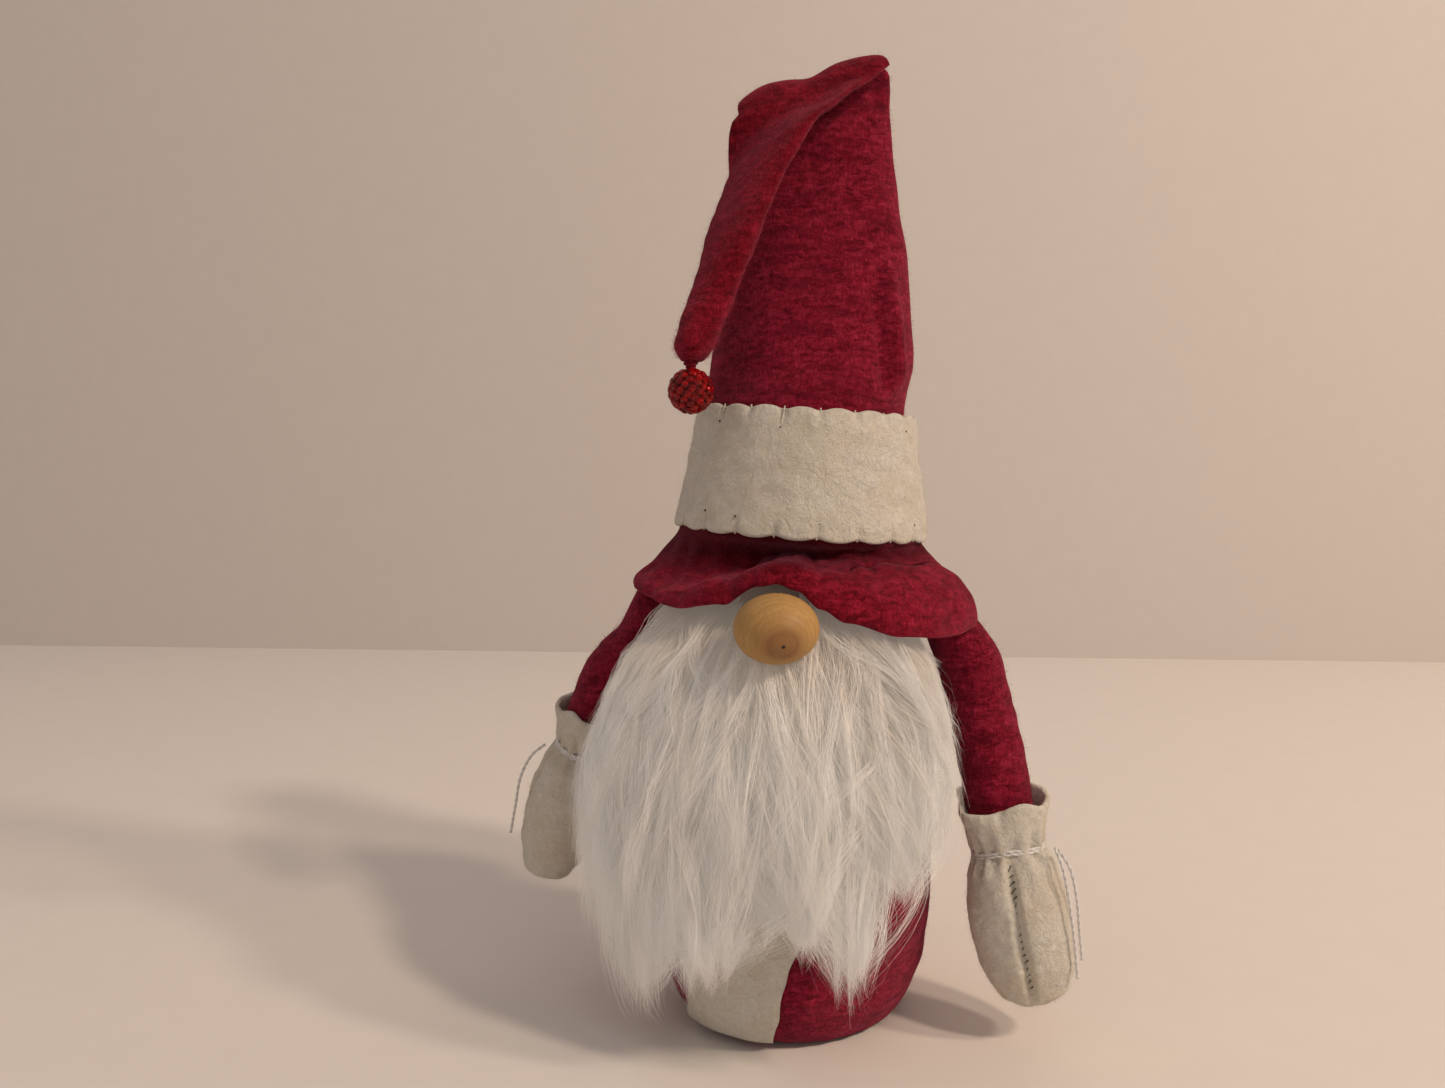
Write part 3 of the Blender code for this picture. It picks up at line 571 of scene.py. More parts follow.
def make_stage():
    """A pale floor and a pale wall behind it; the wall is the floor's paper made darker, as painted shade."""
    across_way = np.array([math.cos(CAMERA_AZIMUTH), math.sin(CAMERA_AZIMUTH), 0])
    ahead_way = np.array([-math.sin(CAMERA_AZIMUTH), math.cos(CAMERA_AZIMUTH), 0])
    wall = 0.68
    for name, edges, shade in (
        ("paper_floor", ((-1.6, -0.0002), (wall + 0.01, -0.0002)), (0.80, 0.755, 0.715)),
        # the wall: the same paper as the floor, painted darker as shade
        ("paper_wall", ((wall, -0.01), (wall, 1.8)), (0.66, 0.615, 0.585)),
    ):
        n = Nodes(name, 0.8)
        paper = n.noise(n.mapped((60, 60, 60)), 1.0, 3.0, 0.5)
        n.colour(n.mix(n.ramp(paper, [(0.3, 0.3), (0.7, 0.0)]), shade, tuple(c * 0.94 for c in shade)))
        points = [across_way * side + ahead_way * ahead + [0, 0, up]
                  for side in (-2.2, 2.2) for ahead, up in edges]
        new_object(name, points, [(0, 2, 3, 1)], n.material, smooth_faces=False)


def area_light(name, place, target, size, power, colour):
    data = bpy.data.lights.new(name, "AREA")
    data.shape = "DISK"
    data.size = size
    data.energy = power
    data.color = colour
    obj = bpy.data.objects.new(name, data)
    bpy.context.collection.objects.link(obj)
    obj.location = place
    obj.rotation_euler = (Vector(target) - Vector(place)).to_track_quat("-Z", "Y").to_euler()


def make_light():
    """Two small warm keys from the right, a weak cool back light and a pale surround."""
    right = np.array([math.cos(CAMERA_AZIMUTH), math.sin(CAMERA_AZIMUTH), 0])
    ahead = np.array([-math.sin(CAMERA_AZIMUTH), math.cos(CAMERA_AZIMUTH), 0])
    centre = np.array([0, 0, 0.12])
    for name, across, depth, elevation, distance, size, power, colour in (
        ("key", 0.80, -0.60, 43, 2.3, 0.20, 18.5, (1.0, 0.80, 0.62)),
        ("second_key", 0.93, -0.37, 36, 2.3, 0.20, 15.0, (1.0, 0.80, 0.62)),
        ("back", -0.72, 0.69, 48, 1.6, 0.30, 2.2, (0.72, 0.84, 1.0)),
    ):
        flat = (right * across + ahead * depth) * math.cos(math.radians(elevation))
        place = centre + (flat + [0, 0, math.sin(math.radians(elevation))]) * distance
        area_light(name, place, centre, size, power, colour)
    world = bpy.data.worlds.new("studio")
    world.use_nodes = True
    sky = world.node_tree.nodes["Background"]
    sky.inputs["Color"].default_value = (1.0, 0.885, 0.83, 1.0)
    sky.inputs["Strength"].default_value = 0.37
    bpy.context.scene.world = world
    bpy.context.scene.view_settings.view_transform = "Standard"


# ---------------------------------------------------------------- body


def body_radius(z):
    """Outer radius of the body sack at a height."""
    z = np.asarray(z, float)
    rise = np.clip(1 - z / BODY_RADIUS_Z, 0, 1)
    foot = FOOT_RADIUS + (BODY_RADIUS - FOOT_RADIUS) * np.sqrt(np.maximum(0, 1 - rise**2.1))
    share = smooth((z - BODY_RADIUS_Z) / (BODY_TOP - BODY_RADIUS_Z))
    return np.where(z < BODY_RADIUS_Z, foot, BODY_RADIUS + (NECK_RADIUS - BODY_RADIUS) * share)


def body_centre_x(z):
    return BODY_CENTRE_X * (1 - 0.8 * smooth(np.asarray(z, float) / BODY_TOP))


def wrapped_points(angle, z, lift):
    """Points off the body's skin, at angles from the front toward +X."""
    radius = body_radius(z) + lift
    across, ahead = body_centre_x(z) + radius * np.sin(angle), -radius * np.cos(angle)
    return np.stack([across, ahead, z + 0 * angle], axis=-1)


def make_body():
    """The stuffed flannel sack, with soft dents and a gathered foot."""
    rows, columns = 110, 160
    share = np.linspace(0, 1, rows)[:, None]
    z = 0.0004 + (BODY_TOP - 0.0004) * share**1.25
    angle = np.linspace(0, math.tau, columns, endpoint=False)[None]
    grid = wrapped_points(angle + 0 * z, z + 0 * angle, 0.0)
    normals = grid_normals(grid)
    dents = 0.0009 * ripple(grid, 0.05, 3) + 0.0003 * ripple(grid, 0.014, 4)
    foot = np.exp(-((z / 0.010) ** 2))
    gathers = 0.00012 * foot * np.sin(angle * 34 + 2 * np.sin(angle * 3))
    seam = -0.0012 * np.exp(-(((angle - math.pi) / 0.035) ** 2))
    settle = smooth(z / 0.006)
    grid = grid + normals * ((dents * settle + seam) * smooth(z / 0.004) + gathers - 0.0004)[..., None]
    grid[..., 2] = np.maximum(grid[..., 2], 0.0003)
    faces = grid_faces(rows, columns)
    obj = new_object("Body_Sack", grid, faces, FLANNEL_CLOTH, "body")
    nap("Body_Nap", grid, 11000, 0.0014, FUZZ_RED, riding("body"), 101)
    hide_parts("body_sack")


def make_trim():
    """The felt strip down the front of the coat."""
    rows, columns = 60, 18
    z = np.linspace(0.0032, 0.0910, rows)[:, None]
    centre = -0.0132 + 0.26 * z
    offset = np.linspace(-TRIM_WIDTH / 2, TRIM_WIDTH / 2, columns)[None]
    wander = 0.0006 * np.sin(z * 190) + 0.0003 * np.sin(z * 520 + 1)
    angle = (centre + offset + wander) / body_radius(z)
    grid = wrapped_points(angle, z + 0 * offset, 3 * GAP + FELT)
    grid = grid + grid_normals(grid, False) * (0.0004 * ripple(grid, 0.02, 8))[..., None]
    points, faces = thick_sheet(grid, FELT, closed_columns=False)
    obj = new_object("Coat_Trim", points, faces, FELT_CLOTH, "body")
    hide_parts("coat_trim")


# ---------------------------------------------------------------- beard


TUFTS = 170


def pile_depth(z):
    """How far the beard's outer mass stands off its backing, by height."""
    stops = ((-0.01, 0.0120), (0.003, 0.0125), (0.015, 0.0135), (0.03, 0.0150), (0.048, 0.0175),
             (0.065, 0.020), (0.085, 0.0215), (0.105, 0.020), (0.118, 0.0175), (0.129, 0.0125),
             (0.1385, 0.0070), (0.152, 0.0030))
    return through(stops, z)


def tip_height(angle):
    """How low the longest locks reach, by angle from the front toward +X."""
    stops = ((-1.35, 0.050), (-1.15, 0.030), (-1.00, 0.004), (-0.85, 0.001), (-0.68, 0.008),
             (-0.50, 0.027), (-0.30, 0.024), (-0.12, 0.029), (0.05, 0.036), (0.22, 0.043),
             (0.32, 0.040), (0.43, 0.030), (0.53, 0.024), (0.60, 0.048), (0.73, 0.066), (0.92, 0.068),
             (1.10, 0.078), (1.25, 0.097), (1.40, 0.110))
    return through(stops, angle)


def beard_guides(rng, count):
    """Root angle, root height, end angle, end height and layer of each lock."""
    root_z = 0.040 + 0.1000 * rng.uniform(0, 1, count) ** 0.80
    half = through(((0.03, 0.55), (0.075, 1.00), (0.12, 1.10), (0.145, 0.96)), root_z)
    root_angle = rng.uniform(-1, 1, count) * half - 0.03
    drift = rng.normal(0.02, 0.17, count)
    fan = 1.0 + 0.24 * smooth((root_z - 0.05) / 0.09)
    end_angle = np.clip(root_angle * fan + drift, -1.28, 1.28)
    lowest = tip_height(end_angle)
    root_z = np.maximum(root_z, np.maximum(lowest, tip_height(root_angle)) + rng.uniform(0.020, 0.034, count))
    root_z = np.minimum(root_z, 0.1405)
    length = rng.uniform(0.026, 0.075, count)
    end_z = np.maximum(root_z - length, lowest + np.abs(rng.normal(0, 0.005, count)))
    tuft_angle = rng.uniform(-1.28, 1.28, TUFTS)
    tuft_z = tip_height(tuft_angle) + 0.085 * rng.uniform(0, 1, TUFTS) ** 1.2
    apart = (0.065 * (tuft_angle - end_angle[:, None])) ** 2 + (0.6 * (tuft_z - end_z[:, None])) ** 2
    nearest = np.argmin(apart, axis=1)
    end_angle = end_angle + 0.80 * (tuft_angle[nearest] - end_angle)
    end_z = end_z + 0.68 * (tuft_z[nearest] - end_z)
    root_z = np.maximum(root_z, np.minimum(end_z + 0.020, 0.1405))
    end_z = np.minimum(end_z, root_z - 0.014)
    own = rng.normal(0, 0.07, count)
    shared = 0.14 * rng.normal(0, 1, TUFTS)[nearest]
    layer = np.clip(0.30 + 0.75 * (root_z - 0.040) / 0.100 + own + shared, 0.15, 1.12)
    return root_angle, root_z, end_angle, end_z, layer


def beard_paths(rng, guides, lock, spread, steps, convergence, curl):
    """Fibre paths: each starts near its lock's root and draws in toward the lock's own line."""
    root_angle, root_z, end_angle, end_z, layer = (values[lock] for values in guides)
    count = len(lock)
    u = np.linspace(0, 1, steps)[None]
    start = rng.normal(0, spread, (count, 2))
    draw = (1 - convergence[:, None] * smooth(u * 1.1) ** 0.9)
    phase = rng.uniform(0, math.tau, (len(guides[0]), 3))[lock]
    sweep = rng.normal(0, 0.10, len(guides[0]))[lock][:, None]
    length = (root_z - end_z)[:, None] * rng.uniform(0.78, 1.10, count)[:, None]
    wave = sweep * np.sin(u * 3.1) + curl[:, None] * np.sin(u * 8 + phase[:, 1:2] * 3) * u
    angle = root_angle[:, None] + (end_angle - root_angle)[:, None] * smooth(u) ** 0.9 + wave
    angle = angle + start[:, :1] / 0.05 * draw
    z = root_z[:, None] + start[:, 1:] * draw - length * u**1.08 + 0.0015 * np.sin(u * 7 + phase[:, 2:]) * u
    z = np.maximum(z, 0.0006)
    side = 1 - 0.75 * smooth((np.abs(angle + 0.04) - 0.85) / 0.45)
    stand = pile_depth(z) * layer[:, None] * side * (1 - np.exp(-6.0 * u))
    tip = rng.normal(0.0004, 0.0016, len(guides[0]))[lock][:, None] * u**2
    stand = stand + tip + rng.normal(0, 0.0006, (count, 1)) * (1 + u)
    stray = np.where(np.abs(curl) > 0.045, rng.uniform(0, 0.004, count), 0)[:, None] * u**1.5
    return wrapped_points(angle, z, BEARD_LIFT + np.maximum(stand, -0.001) + stray)


def make_beard():
    """The knitted backing and the long pile that hangs from it in locks."""
    rows, columns = 60, 60
    z = np.linspace(0.052, 0.143, rows)[:, None]
    half = through(((0.03, 0.45), (0.075, 0.80), (0.105, 1.08), (0.150, 0.90)), z)
    angle = -0.03 + half * np.linspace(-1, 1, columns)[None]
    grid = wrapped_points(angle, z + 0 * angle, BEARD_LIFT)
    points, faces = thick_sheet(grid, 0.0010, closed_columns=False)
    backing = new_object("Beard_Backing", points, faces, KNIT_BACKING, "body")
    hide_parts("beard_backing")
    rng = np.random.default_rng(11)
    locks = 1250
    guides = beard_guides(rng, locks)
    per_lock = 23
    lock = np.repeat(np.arange(locks), per_lock)
    count = len(lock)
    convergence = np.clip(rng.normal(0.86, 0.12, count), 0.3, 0.98)
    loose = rng.uniform(0, 1, count) < 0.12
    convergence[loose] = rng.uniform(-0.6, 0.3, loose.sum())
    curl = rng.normal(0, 0.008, count) + np.where(loose, rng.normal(0, 0.060, count), 0)
    steps = 13
    paths = beard_paths(rng, guides, lock, 0.0013, steps, convergence, curl)
    thickness = rng.uniform(0.00005, 0.00010, count) * np.where(loose, 0.6, 1.0)
    taper = 1 - 0.88 * np.linspace(0, 1, steps) ** 1.6
    tones = rng.uniform(0, 1, count) * 0.5 + rng.uniform(0, 0.5, locks)[lock]
    fur = strand_objects("Beard_Fur", paths, thickness[:, None] * taper, tones, FUR, riding("body"))
    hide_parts("beard_pile")


# ---------------------------------------------------------------- nose


def make_nose():
    """A turned wooden ball, a little flat at its drilled front pole."""
    low, high = (np.array(corner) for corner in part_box("nose"))
    centre, half = (low + high) / 2, (high - low) / 2
    rows, columns = 48, 72
    lat = np.linspace(0.0, math.pi, rows)[:, None]
    lon = np.linspace(0, math.tau, columns, endpoint=False)[None]
    ball = np.stack([np.sin(lat) * np.cos(lon), -np.cos(lat) + 0 * lon, np.sin(lat) * np.sin(lon)], -1)
    faces = grid_faces(rows, columns, flip=True)
    pole = centre + half * np.array([0.36, -0.87, -0.33])
    obj = new_object("Nose", centre + ball * half, faces, wood_material(pole), "body")
    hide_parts("nose")


# ---------------------------------------------------------------- hat


def tilted(points):
    """The hat's own lean and slope, over level rings."""
    x = points[..., 0] + HAT_LEAN * (points[..., 2] - BAND_FOOT_Z)
    return np.stack([x, points[..., 1], points[..., 2] + HAT_SLOPE * points[..., 0]], -1)


def band_radius(z):
    return BAND_FOOT_RADIUS + (BAND_TOP_RADIUS - BAND_FOOT_RADIUS) * (z - BAND_FOOT_Z) / BAND_HEIGHT


def ridge_axes():
    """Along the fold, out to the front, and up."""
    along = unit(np.array([0.0490, 0.0095, 0.0150]))
    front = -unit(np.cross([0, 0, 1], along))
    up = np.cross(front, along)
    return along, front, up if up[2] > 0 else -up


def settled(points):
    """The hat's top edge, with the dip and the bump of its fold."""
    along = ridge_axes()[0]
    share = (points - RIDGE_MID) @ along / RIDGE_HALF
    near = smooth((points[..., 2] - 0.282) / 0.012)
    dip = -0.0022 * np.exp(-(((share - 0.02) / 0.24) ** 2))
    drop = dip + 0.0009 * np.exp(-(((share + 0.62) / 0.22) ** 2))
    return points + np.stack([0 * drop, 0 * drop, drop * near], -1)


def make_wadding(name, rings, share, body):
    """Filling inside a cloth's own rings, drawn in toward each ring's middle so that it never shows."""
    middle = rings.mean(axis=1, keepdims=True)
    filling = middle + (rings - middle) * share
    return new_object(name, filling, capped_faces(len(filling), rings.shape[1]), WADDING, body)


def make_cone():
    """The standing part of the hat, from under the brim to the folded ridge."""
    along, front, up = ridge_axes()
    rows, columns = 130, 180
    foot = np.array([0, 0, BAND_FOOT_Z - 0.002])
    foot_radius = band_radius(foot[2]) - 2 * FELT - 5 * GAP
    turn = np.linspace(0, math.tau, columns, endpoint=False)
    rings = []
    rise = RIDGE_MID[2] - foot[2]
    for share in np.linspace(0, 1, rows):
        centre = foot + (RIDGE_MID - foot) * share
        centre[0] += HAT_BULGE * math.sin(math.pi * share)
        lean = smooth(share)
        half_along = foot_radius + (RIDGE_HALF - foot_radius) * share**1.2
        half_across = foot_radius + (ROLL_RADIUS - foot_radius) * share**1.1
        fitted = band_radius(foot[2] + share * rise) - 2 * FELT - 5 * GAP + FELT * min(1.0, share / 0.1) * 0.6
        tight = 1 - smooth((share - 0.26) / 0.12)
        half_along += (fitted - half_along) * tight
        half_across += (fitted - half_across) * tight
        direction = unit(np.array([1, 0, HAT_SLOPE]) * (1 - lean) + along * lean)
        across = unit(np.array([0, 1, 0]) * (1 - lean) - front * lean)
        rings.append(centre + np.outer(np.cos(turn) * half_along, direction)
                     + np.outer(np.sin(turn) * half_across, across))
    for degrees in (20, 40, 60, 78):
        lift, shrink = math.sin(math.radians(degrees)), math.cos(math.radians(degrees))
        half_along = RIDGE_HALF - ROLL_RADIUS * (1 - shrink)
        rings.append(RIDGE_MID + up * ROLL_RADIUS * lift + np.outer(np.cos(turn) * half_along, along)
                     - np.outer(np.sin(turn) * ROLL_RADIUS * shrink, front))
    grid = np.array(rings)
    normals = grid_normals(grid)
    share = np.linspace(0, 1, len(rings))[:, None]
    free = smooth((share - 0.27) / 0.08) * (1 - smooth((share - 0.88) / 0.08))
    folds = 0.0011 * ripple(grid, 0.06, 21) + 0.0004 * ripple(grid, 0.018, 22)
    around = np.angle(np.exp(1j * (turn[None] - 5.60 - 0.10 * np.sin(share * 9))))
    reach = smooth((share - 0.28) / 0.06) * (1 - smooth((share - 0.44) / 0.16))
    crest = 0.0030 * np.exp(-(((around - 0.20) / 0.13) ** 2))
    crease = (crest - 0.0013 * np.exp(-((around / 0.07) ** 2))) * reach
    grid = grid + normals * np.clip((folds + crease) * free, -0.0011, 0.004)[..., None]
    grid = settled(grid)
    obj = new_object("Hat_Cone", grid, capped_faces(len(rings), columns, first=False), FLANNEL_CLOTH, "body")
    nap("Cone_Nap", grid, 11000, 0.0014, FUZZ_RED, riding("body"), 121)
    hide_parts("hat_cone")
    wadding = make_wadding("Hat_Wadding", grid[2:-8:4], 0.62, "body")
    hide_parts("hat_stuffing")


TAIL_STATIONS = (
    ((0.0038, -0.0078, 0.2950), 0.0244, 0.0034),
    ((-0.0030, -0.0125, 0.2835), 0.0205, 0.0038),
    ((-0.0095, -0.0180, 0.2700), 0.0160, 0.0042),
    ((-0.0138, -0.0240, 0.2555), 0.0126, 0.0044),
    ((-0.0170, -0.0300, 0.2425), 0.0098, 0.0045),
    ((-0.0200, -0.0350, 0.2290), 0.0075, 0.0047),
    ((-0.0225, -0.0385, 0.2200), 0.0070, 0.0056),
    ((-0.0240, -0.0400, 0.2135), 0.0066, 0.0060),
    ((-0.0248, -0.0406, 0.2093), 0.0034, 0.0032),
)


def make_tail():
    """The folded top of the hat: over the ridge, down the front and into the stuffed bulb."""
    along, front, up = ridge_axes()
    columns = 96
    turn = np.linspace(0, math.tau, columns, endpoint=False)
    rings = []
    for degrees in np.linspace(186, 6, 22):
        angle = math.radians(degrees)
        out = front * math.cos(angle) + up * math.sin(angle)
        front_share = 0.5 + 0.5 * math.cos(angle)
        inner = ROLL_RADIUS + 0.0001
        outer = inner + 0.0002 + 0.0072 * front_share**1.3
        centre = RIDGE_MID + out * (inner + outer) / 2
        half_along = RIDGE_HALF - 0.0002 - 0.0034 * max(0.0, math.sin(angle)) ** 3
        rings.append(centre + np.outer(np.cos(turn) * half_along, along)
                     + np.outer(np.sin(turn) * (outer - inner) / 2, out))
    centres = np.array([s[0] for s in TAIL_STATIONS])
    steps = 84
    line = catmull(centres, steps)
    sizes = catmull(np.array([(s[1], s[2], 0) for s in TAIL_STATIONS]), steps)
    tangents = unit(np.gradient(line, axis=0))
    level = unit(np.array([along[0], along[1], 0]))
    for i in range(2, steps):
        at = i / (steps - 1) * (len(TAIL_STATIONS) - 1)
        side = unit(along + (level - along) * smooth(at / 5))
        depth = unit(np.cross(tangents[i], side))
        forward = depth if depth[1] < 0 else -depth
        roll = 0.62 * smooth((at - 0.1) / 1.6) * (1 - smooth((at - 4.0) / 2.0))
        rolled = depth * math.cos(roll) - side * math.sin(roll) * np.sign(depth @ forward)
        side = side * math.cos(roll) + forward * math.sin(roll)
        rings.append(line[i] + np.outer(np.cos(turn) * sizes[i, 0], side)
                     + np.outer(np.sin(turn) * sizes[i, 1], rolled))
    grid = settled(np.array(rings))
    normals = grid_normals(grid)
    share = np.linspace(0, 1, len(grid))[:, None]
    free = smooth((share - 0.20) / 0.10) * (1 - smooth((share - 0.93) / 0.05))
    folds = 0.0006 * ripple(grid, 0.035, 31) + 0.00035 * ripple(grid, 0.011, 32)
    grid = grid + normals * (folds * free)[..., None]
    # the tail wears the darker copy of the flannel: painted shade
    obj = new_object("Hat_Tail", grid, capped_faces(len(grid), columns), SHADED_TAIL_CLOTH)
    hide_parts("hat_tail")

    def fold(piece):
        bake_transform(piece)

    fold(obj)
    nap("Tail_Nap", grid, 7000, 0.0014, FUZZ_RED, fold, 131)
    wadding = make_wadding("Tail_Wadding", grid[42:-14:6], 0.55, "tail")
    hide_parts("tail_wadding")


HEM_HEIGHTS = ((-3.15, 0.1345), (-2.20, 0.1330), (-1.29, 0.1365), (-0.60, 0.1344), (-0.25, 0.1378),
               (-0.02, 0.1443), (0.08, 0.1456), (0.19, 0.1440), (0.33, 0.1392), (0.47, 0.1358),
               (0.79, 0.1322), (1.12, 0.1313), (1.67, 0.1325), (2.40, 0.1350), (3.15, 0.1345))
HEM_DROPS = ((-3.15, 0.0050), (-1.60, 0.0022), (-0.78, 0.0024), (-0.33, 0.0050), (-0.05, 0.0034),
             (0.07, 0.0036), (0.20, 0.0055), (0.30, 0.0078), (0.48, 0.0115), (0.65, 0.0150),
             (0.85, 0.0175), (1.30, 0.0180), (2.00, 0.0120), (3.15, 0.0050))


def make_brim():
    """The flared brim: drawn in under the band, out to a crest over the nose, then a turned-down hem."""
    columns, wall_rows, hem_rows = 280, 34, 16
    angle = np.linspace(0, math.tau, columns, endpoint=False)[None]
    wrapped = (angle + math.pi) % math.tau - math.pi
    hem_radius = 0.0522 - 0.0025 * np.cos(2 * angle) + 0.0025 * np.sin(angle)
    hem_z, drop = through(HEM_HEIGHTS, wrapped), through(HEM_DROPS, wrapped)
    lobe = smooth((wrapped - 0.22) / 0.5) * (1 - smooth((wrapped - 1.7) / 0.9))
    top_radius, top_z = band_radius(BAND_FOOT_Z) - FELT - 4 * GAP, BAND_FOOT_Z - 2 * GAP
    crest_radius = hem_radius - 0.0010 - (0.12 + 0.68 * lobe) * drop
    crest_z = hem_z + drop
    tuck = np.linspace(1, 0, 5)[:-1, None]
    down = np.linspace(0, 1, wall_rows)[:, None]
    hem = np.linspace(0, 1, hem_rows + 1)[1:, None]
    front = np.exp(-(((wrapped - 0.12) / 0.75) ** 2))
    drawn_in = np.sin(math.pi * np.minimum(1, down * 1.08)) ** 0.7
    waist = (0.0012 + 0.0072 * front) * drawn_in * (1 - 0.35 * lobe)
    sweep = down ** (1.25 + 1.1 * front * (1 - 0.8 * lobe))
    turned_down = np.sin(hem * math.pi / 2) ** (1 - 0.25 * lobe)
    radius = np.concatenate([top_radius + 0 * angle + 0 * tuck,
                             top_radius + (crest_radius - top_radius) * sweep - waist,
                             crest_radius + (hem_radius - crest_radius) * turned_down])
    fall = 1 - (1 - down) ** (1.0 + 0.9 * front * (1 - lobe))
    z = np.concatenate([top_z + 0.0045 * tuck + 0 * angle, top_z + (crest_z - top_z) * fall,
                        crest_z - drop * hem**1.1])
    grid = tilted(np.stack([radius * np.sin(angle), -radius * np.cos(angle), z], -1))
    row = np.arange(len(grid))[:, None]
    free = smooth((row - 5) / 16)
    ripples = 0.0006 * ripple(grid, 0.024, 41) + 0.0004 * ripple(grid, 0.009, 42)
    gathers = 0.0006 * np.sin(angle * 23 + 3 * np.sin(angle * 2)) * np.exp(-(((row - 14) / 9) ** 2))
    grid = grid + grid_normals(grid) * ((ripples + gathers) * free)[..., None]
    points, faces = thick_sheet(grid, FELT)
    obj = new_object("Hat_Brim", points, faces, BRIM_CLOTH, "body")
    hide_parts("hat_brim")
    nap("Brim_Nap", grid[5:], 3500, 0.0009, FUZZ_RED, riding("body"), 141)


def stitch_pull(angle, z):
    """How much the blanket stitches draw the felt in, near its two edges."""
    pitch = math.tau / STITCHES
    offset = (angle + pitch / 2) % pitch - pitch / 2
    notch = np.exp(-((offset * BAND_FOOT_RADIUS / 0.0013) ** 2))
    from_foot, from_top = z - BAND_FOOT_Z, BAND_FOOT_Z + BAND_HEIGHT - z
    near = np.minimum(from_foot, from_top)
    return notch, np.exp(-((near / 0.0036) ** 2)), near


def make_band():
    """The felt band, puffed between its stitches."""
    rows, columns = 56, 640
    angle = np.linspace(0, math.tau, columns, endpoint=False)[None]
    z = BAND_FOOT_Z + BAND_HEIGHT * np.linspace(0, 1, rows)[:, None]
    notch, edge, near = stitch_pull(angle, z)
    radius = band_radius(z) + 0 * angle
    radius = radius - 0.0008 * notch * edge + 0.0003 * np.exp(-(((near - 0.004) / 0.004) ** 2))
    inward = np.where(z < BAND_FOOT_Z + BAND_HEIGHT / 2, 1, -1)
    pitch = math.tau / STITCHES
    scallop = 0.0008 * np.abs(np.cos(angle * math.pi / pitch)) ** 3 * np.exp(-((near / 0.003) ** 2))
    level = z + inward * scallop
    grid = tilted(np.stack([radius * np.cos(angle), radius * np.sin(angle), level], -1))
    lumps = 0.0005 * ripple(grid, 0.03, 51) + 0.0002 * ripple(grid, 0.008, 52)
    grid = grid + grid_normals(grid) * lumps[..., None]
    points, faces = thick_sheet(grid, FELT)
    obj = new_object("Hat_Band", points, faces, FELT_CLOTH, "body")
    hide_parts("hat_band")
    nap("Band_Nap", grid, 8000, 0.0013, FUZZ_WHITE, riding("body"), 151)
    for name, node, edge_z, inward in (
        ("Band_Stitches_Top", "band_top_stitching", BAND_FOOT_Z + BAND_HEIGHT, -1),
        ("Band_Stitches_Foot", "band_bottom_stitching", BAND_FOOT_Z, 1),
    ):
        make_band_stitches(name, node, edge_z, inward)


def make_band_stitches(name, node, edge_z, inward):
    """Blanket stitches: a thread sunk in the felt's edge, dipping to a needle hole at each stitch, with a
    dark plug of painted shade in each hole.
    """
    threads, hole_shades = [], []
    pitch = math.tau / STITCHES
    rng = np.random.default_rng(5 if inward > 0 else 6)
    for i in range(STITCHES):
        angle = i * pitch
        reach = STITCH_DEPTH * rng.uniform(0.8, 1.1)
        drop = np.linspace(-0.0004, reach, 14)
        z = edge_z + inward * drop
        sunk = 0.0007 * np.exp(-((drop / 0.0036) ** 2)) + 0.0012 * smooth((drop - reach + 0.0012) / 0.0010)
        radius = band_radius(z) - 0.0002 - sunk
        slant = angle + rng.uniform(-0.02, 0.02) * drop / reach
        path = tilted(np.stack([radius * np.cos(slant), radius * np.sin(slant), z], -1))
        threads.append(tube(path, 0.00024, 7))
        hole_z = edge_z + inward * reach
        hole_radius = band_radius(hole_z) - 0.00005
        out = np.array([math.cos(slant[-1]), math.sin(slant[-1]), 0.1])
        hole = tilted(np.array([hole_radius * out[0], hole_radius * out[1], hole_z]))
        # a short dark plug in the needle hole: painted shade
        size = rng.uniform(0.00022, 0.00042)
        line = np.array([hole - out * 0.0004, hole, hole + out * 0.0002])
        hole_shades.append(tube(line, np.array([size, size, size * 0.6]), 9))
        span = np.linspace(0, pitch, 22) + angle
        sag = 0.0008 * np.abs(np.cos(span * math.pi / pitch)) ** 3
        z = edge_z - inward * (0.0001 - sag)
        radius = band_radius(z) - 0.0009 - 0.0002 * np.abs(np.cos(span * math.pi / pitch)) ** 3
        path = tilted(np.stack([radius * np.cos(span), radius * np.sin(span), z], -1))
        threads.append(tube(path, 0.00024, 7))
    points, faces = joined(threads)
    obj = new_object(name, points, faces, THREAD_CREAM, "body")
    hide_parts(node)
    # the plugs are painted shade of the needle holes
    points, faces = joined(hole_shades)
    hole_shade_marks = new_object(name + "_Hole_Shade", points, faces, NEEDLE_HOLE_SHADE, "body")


# ---------------------------------------------------------------- bead


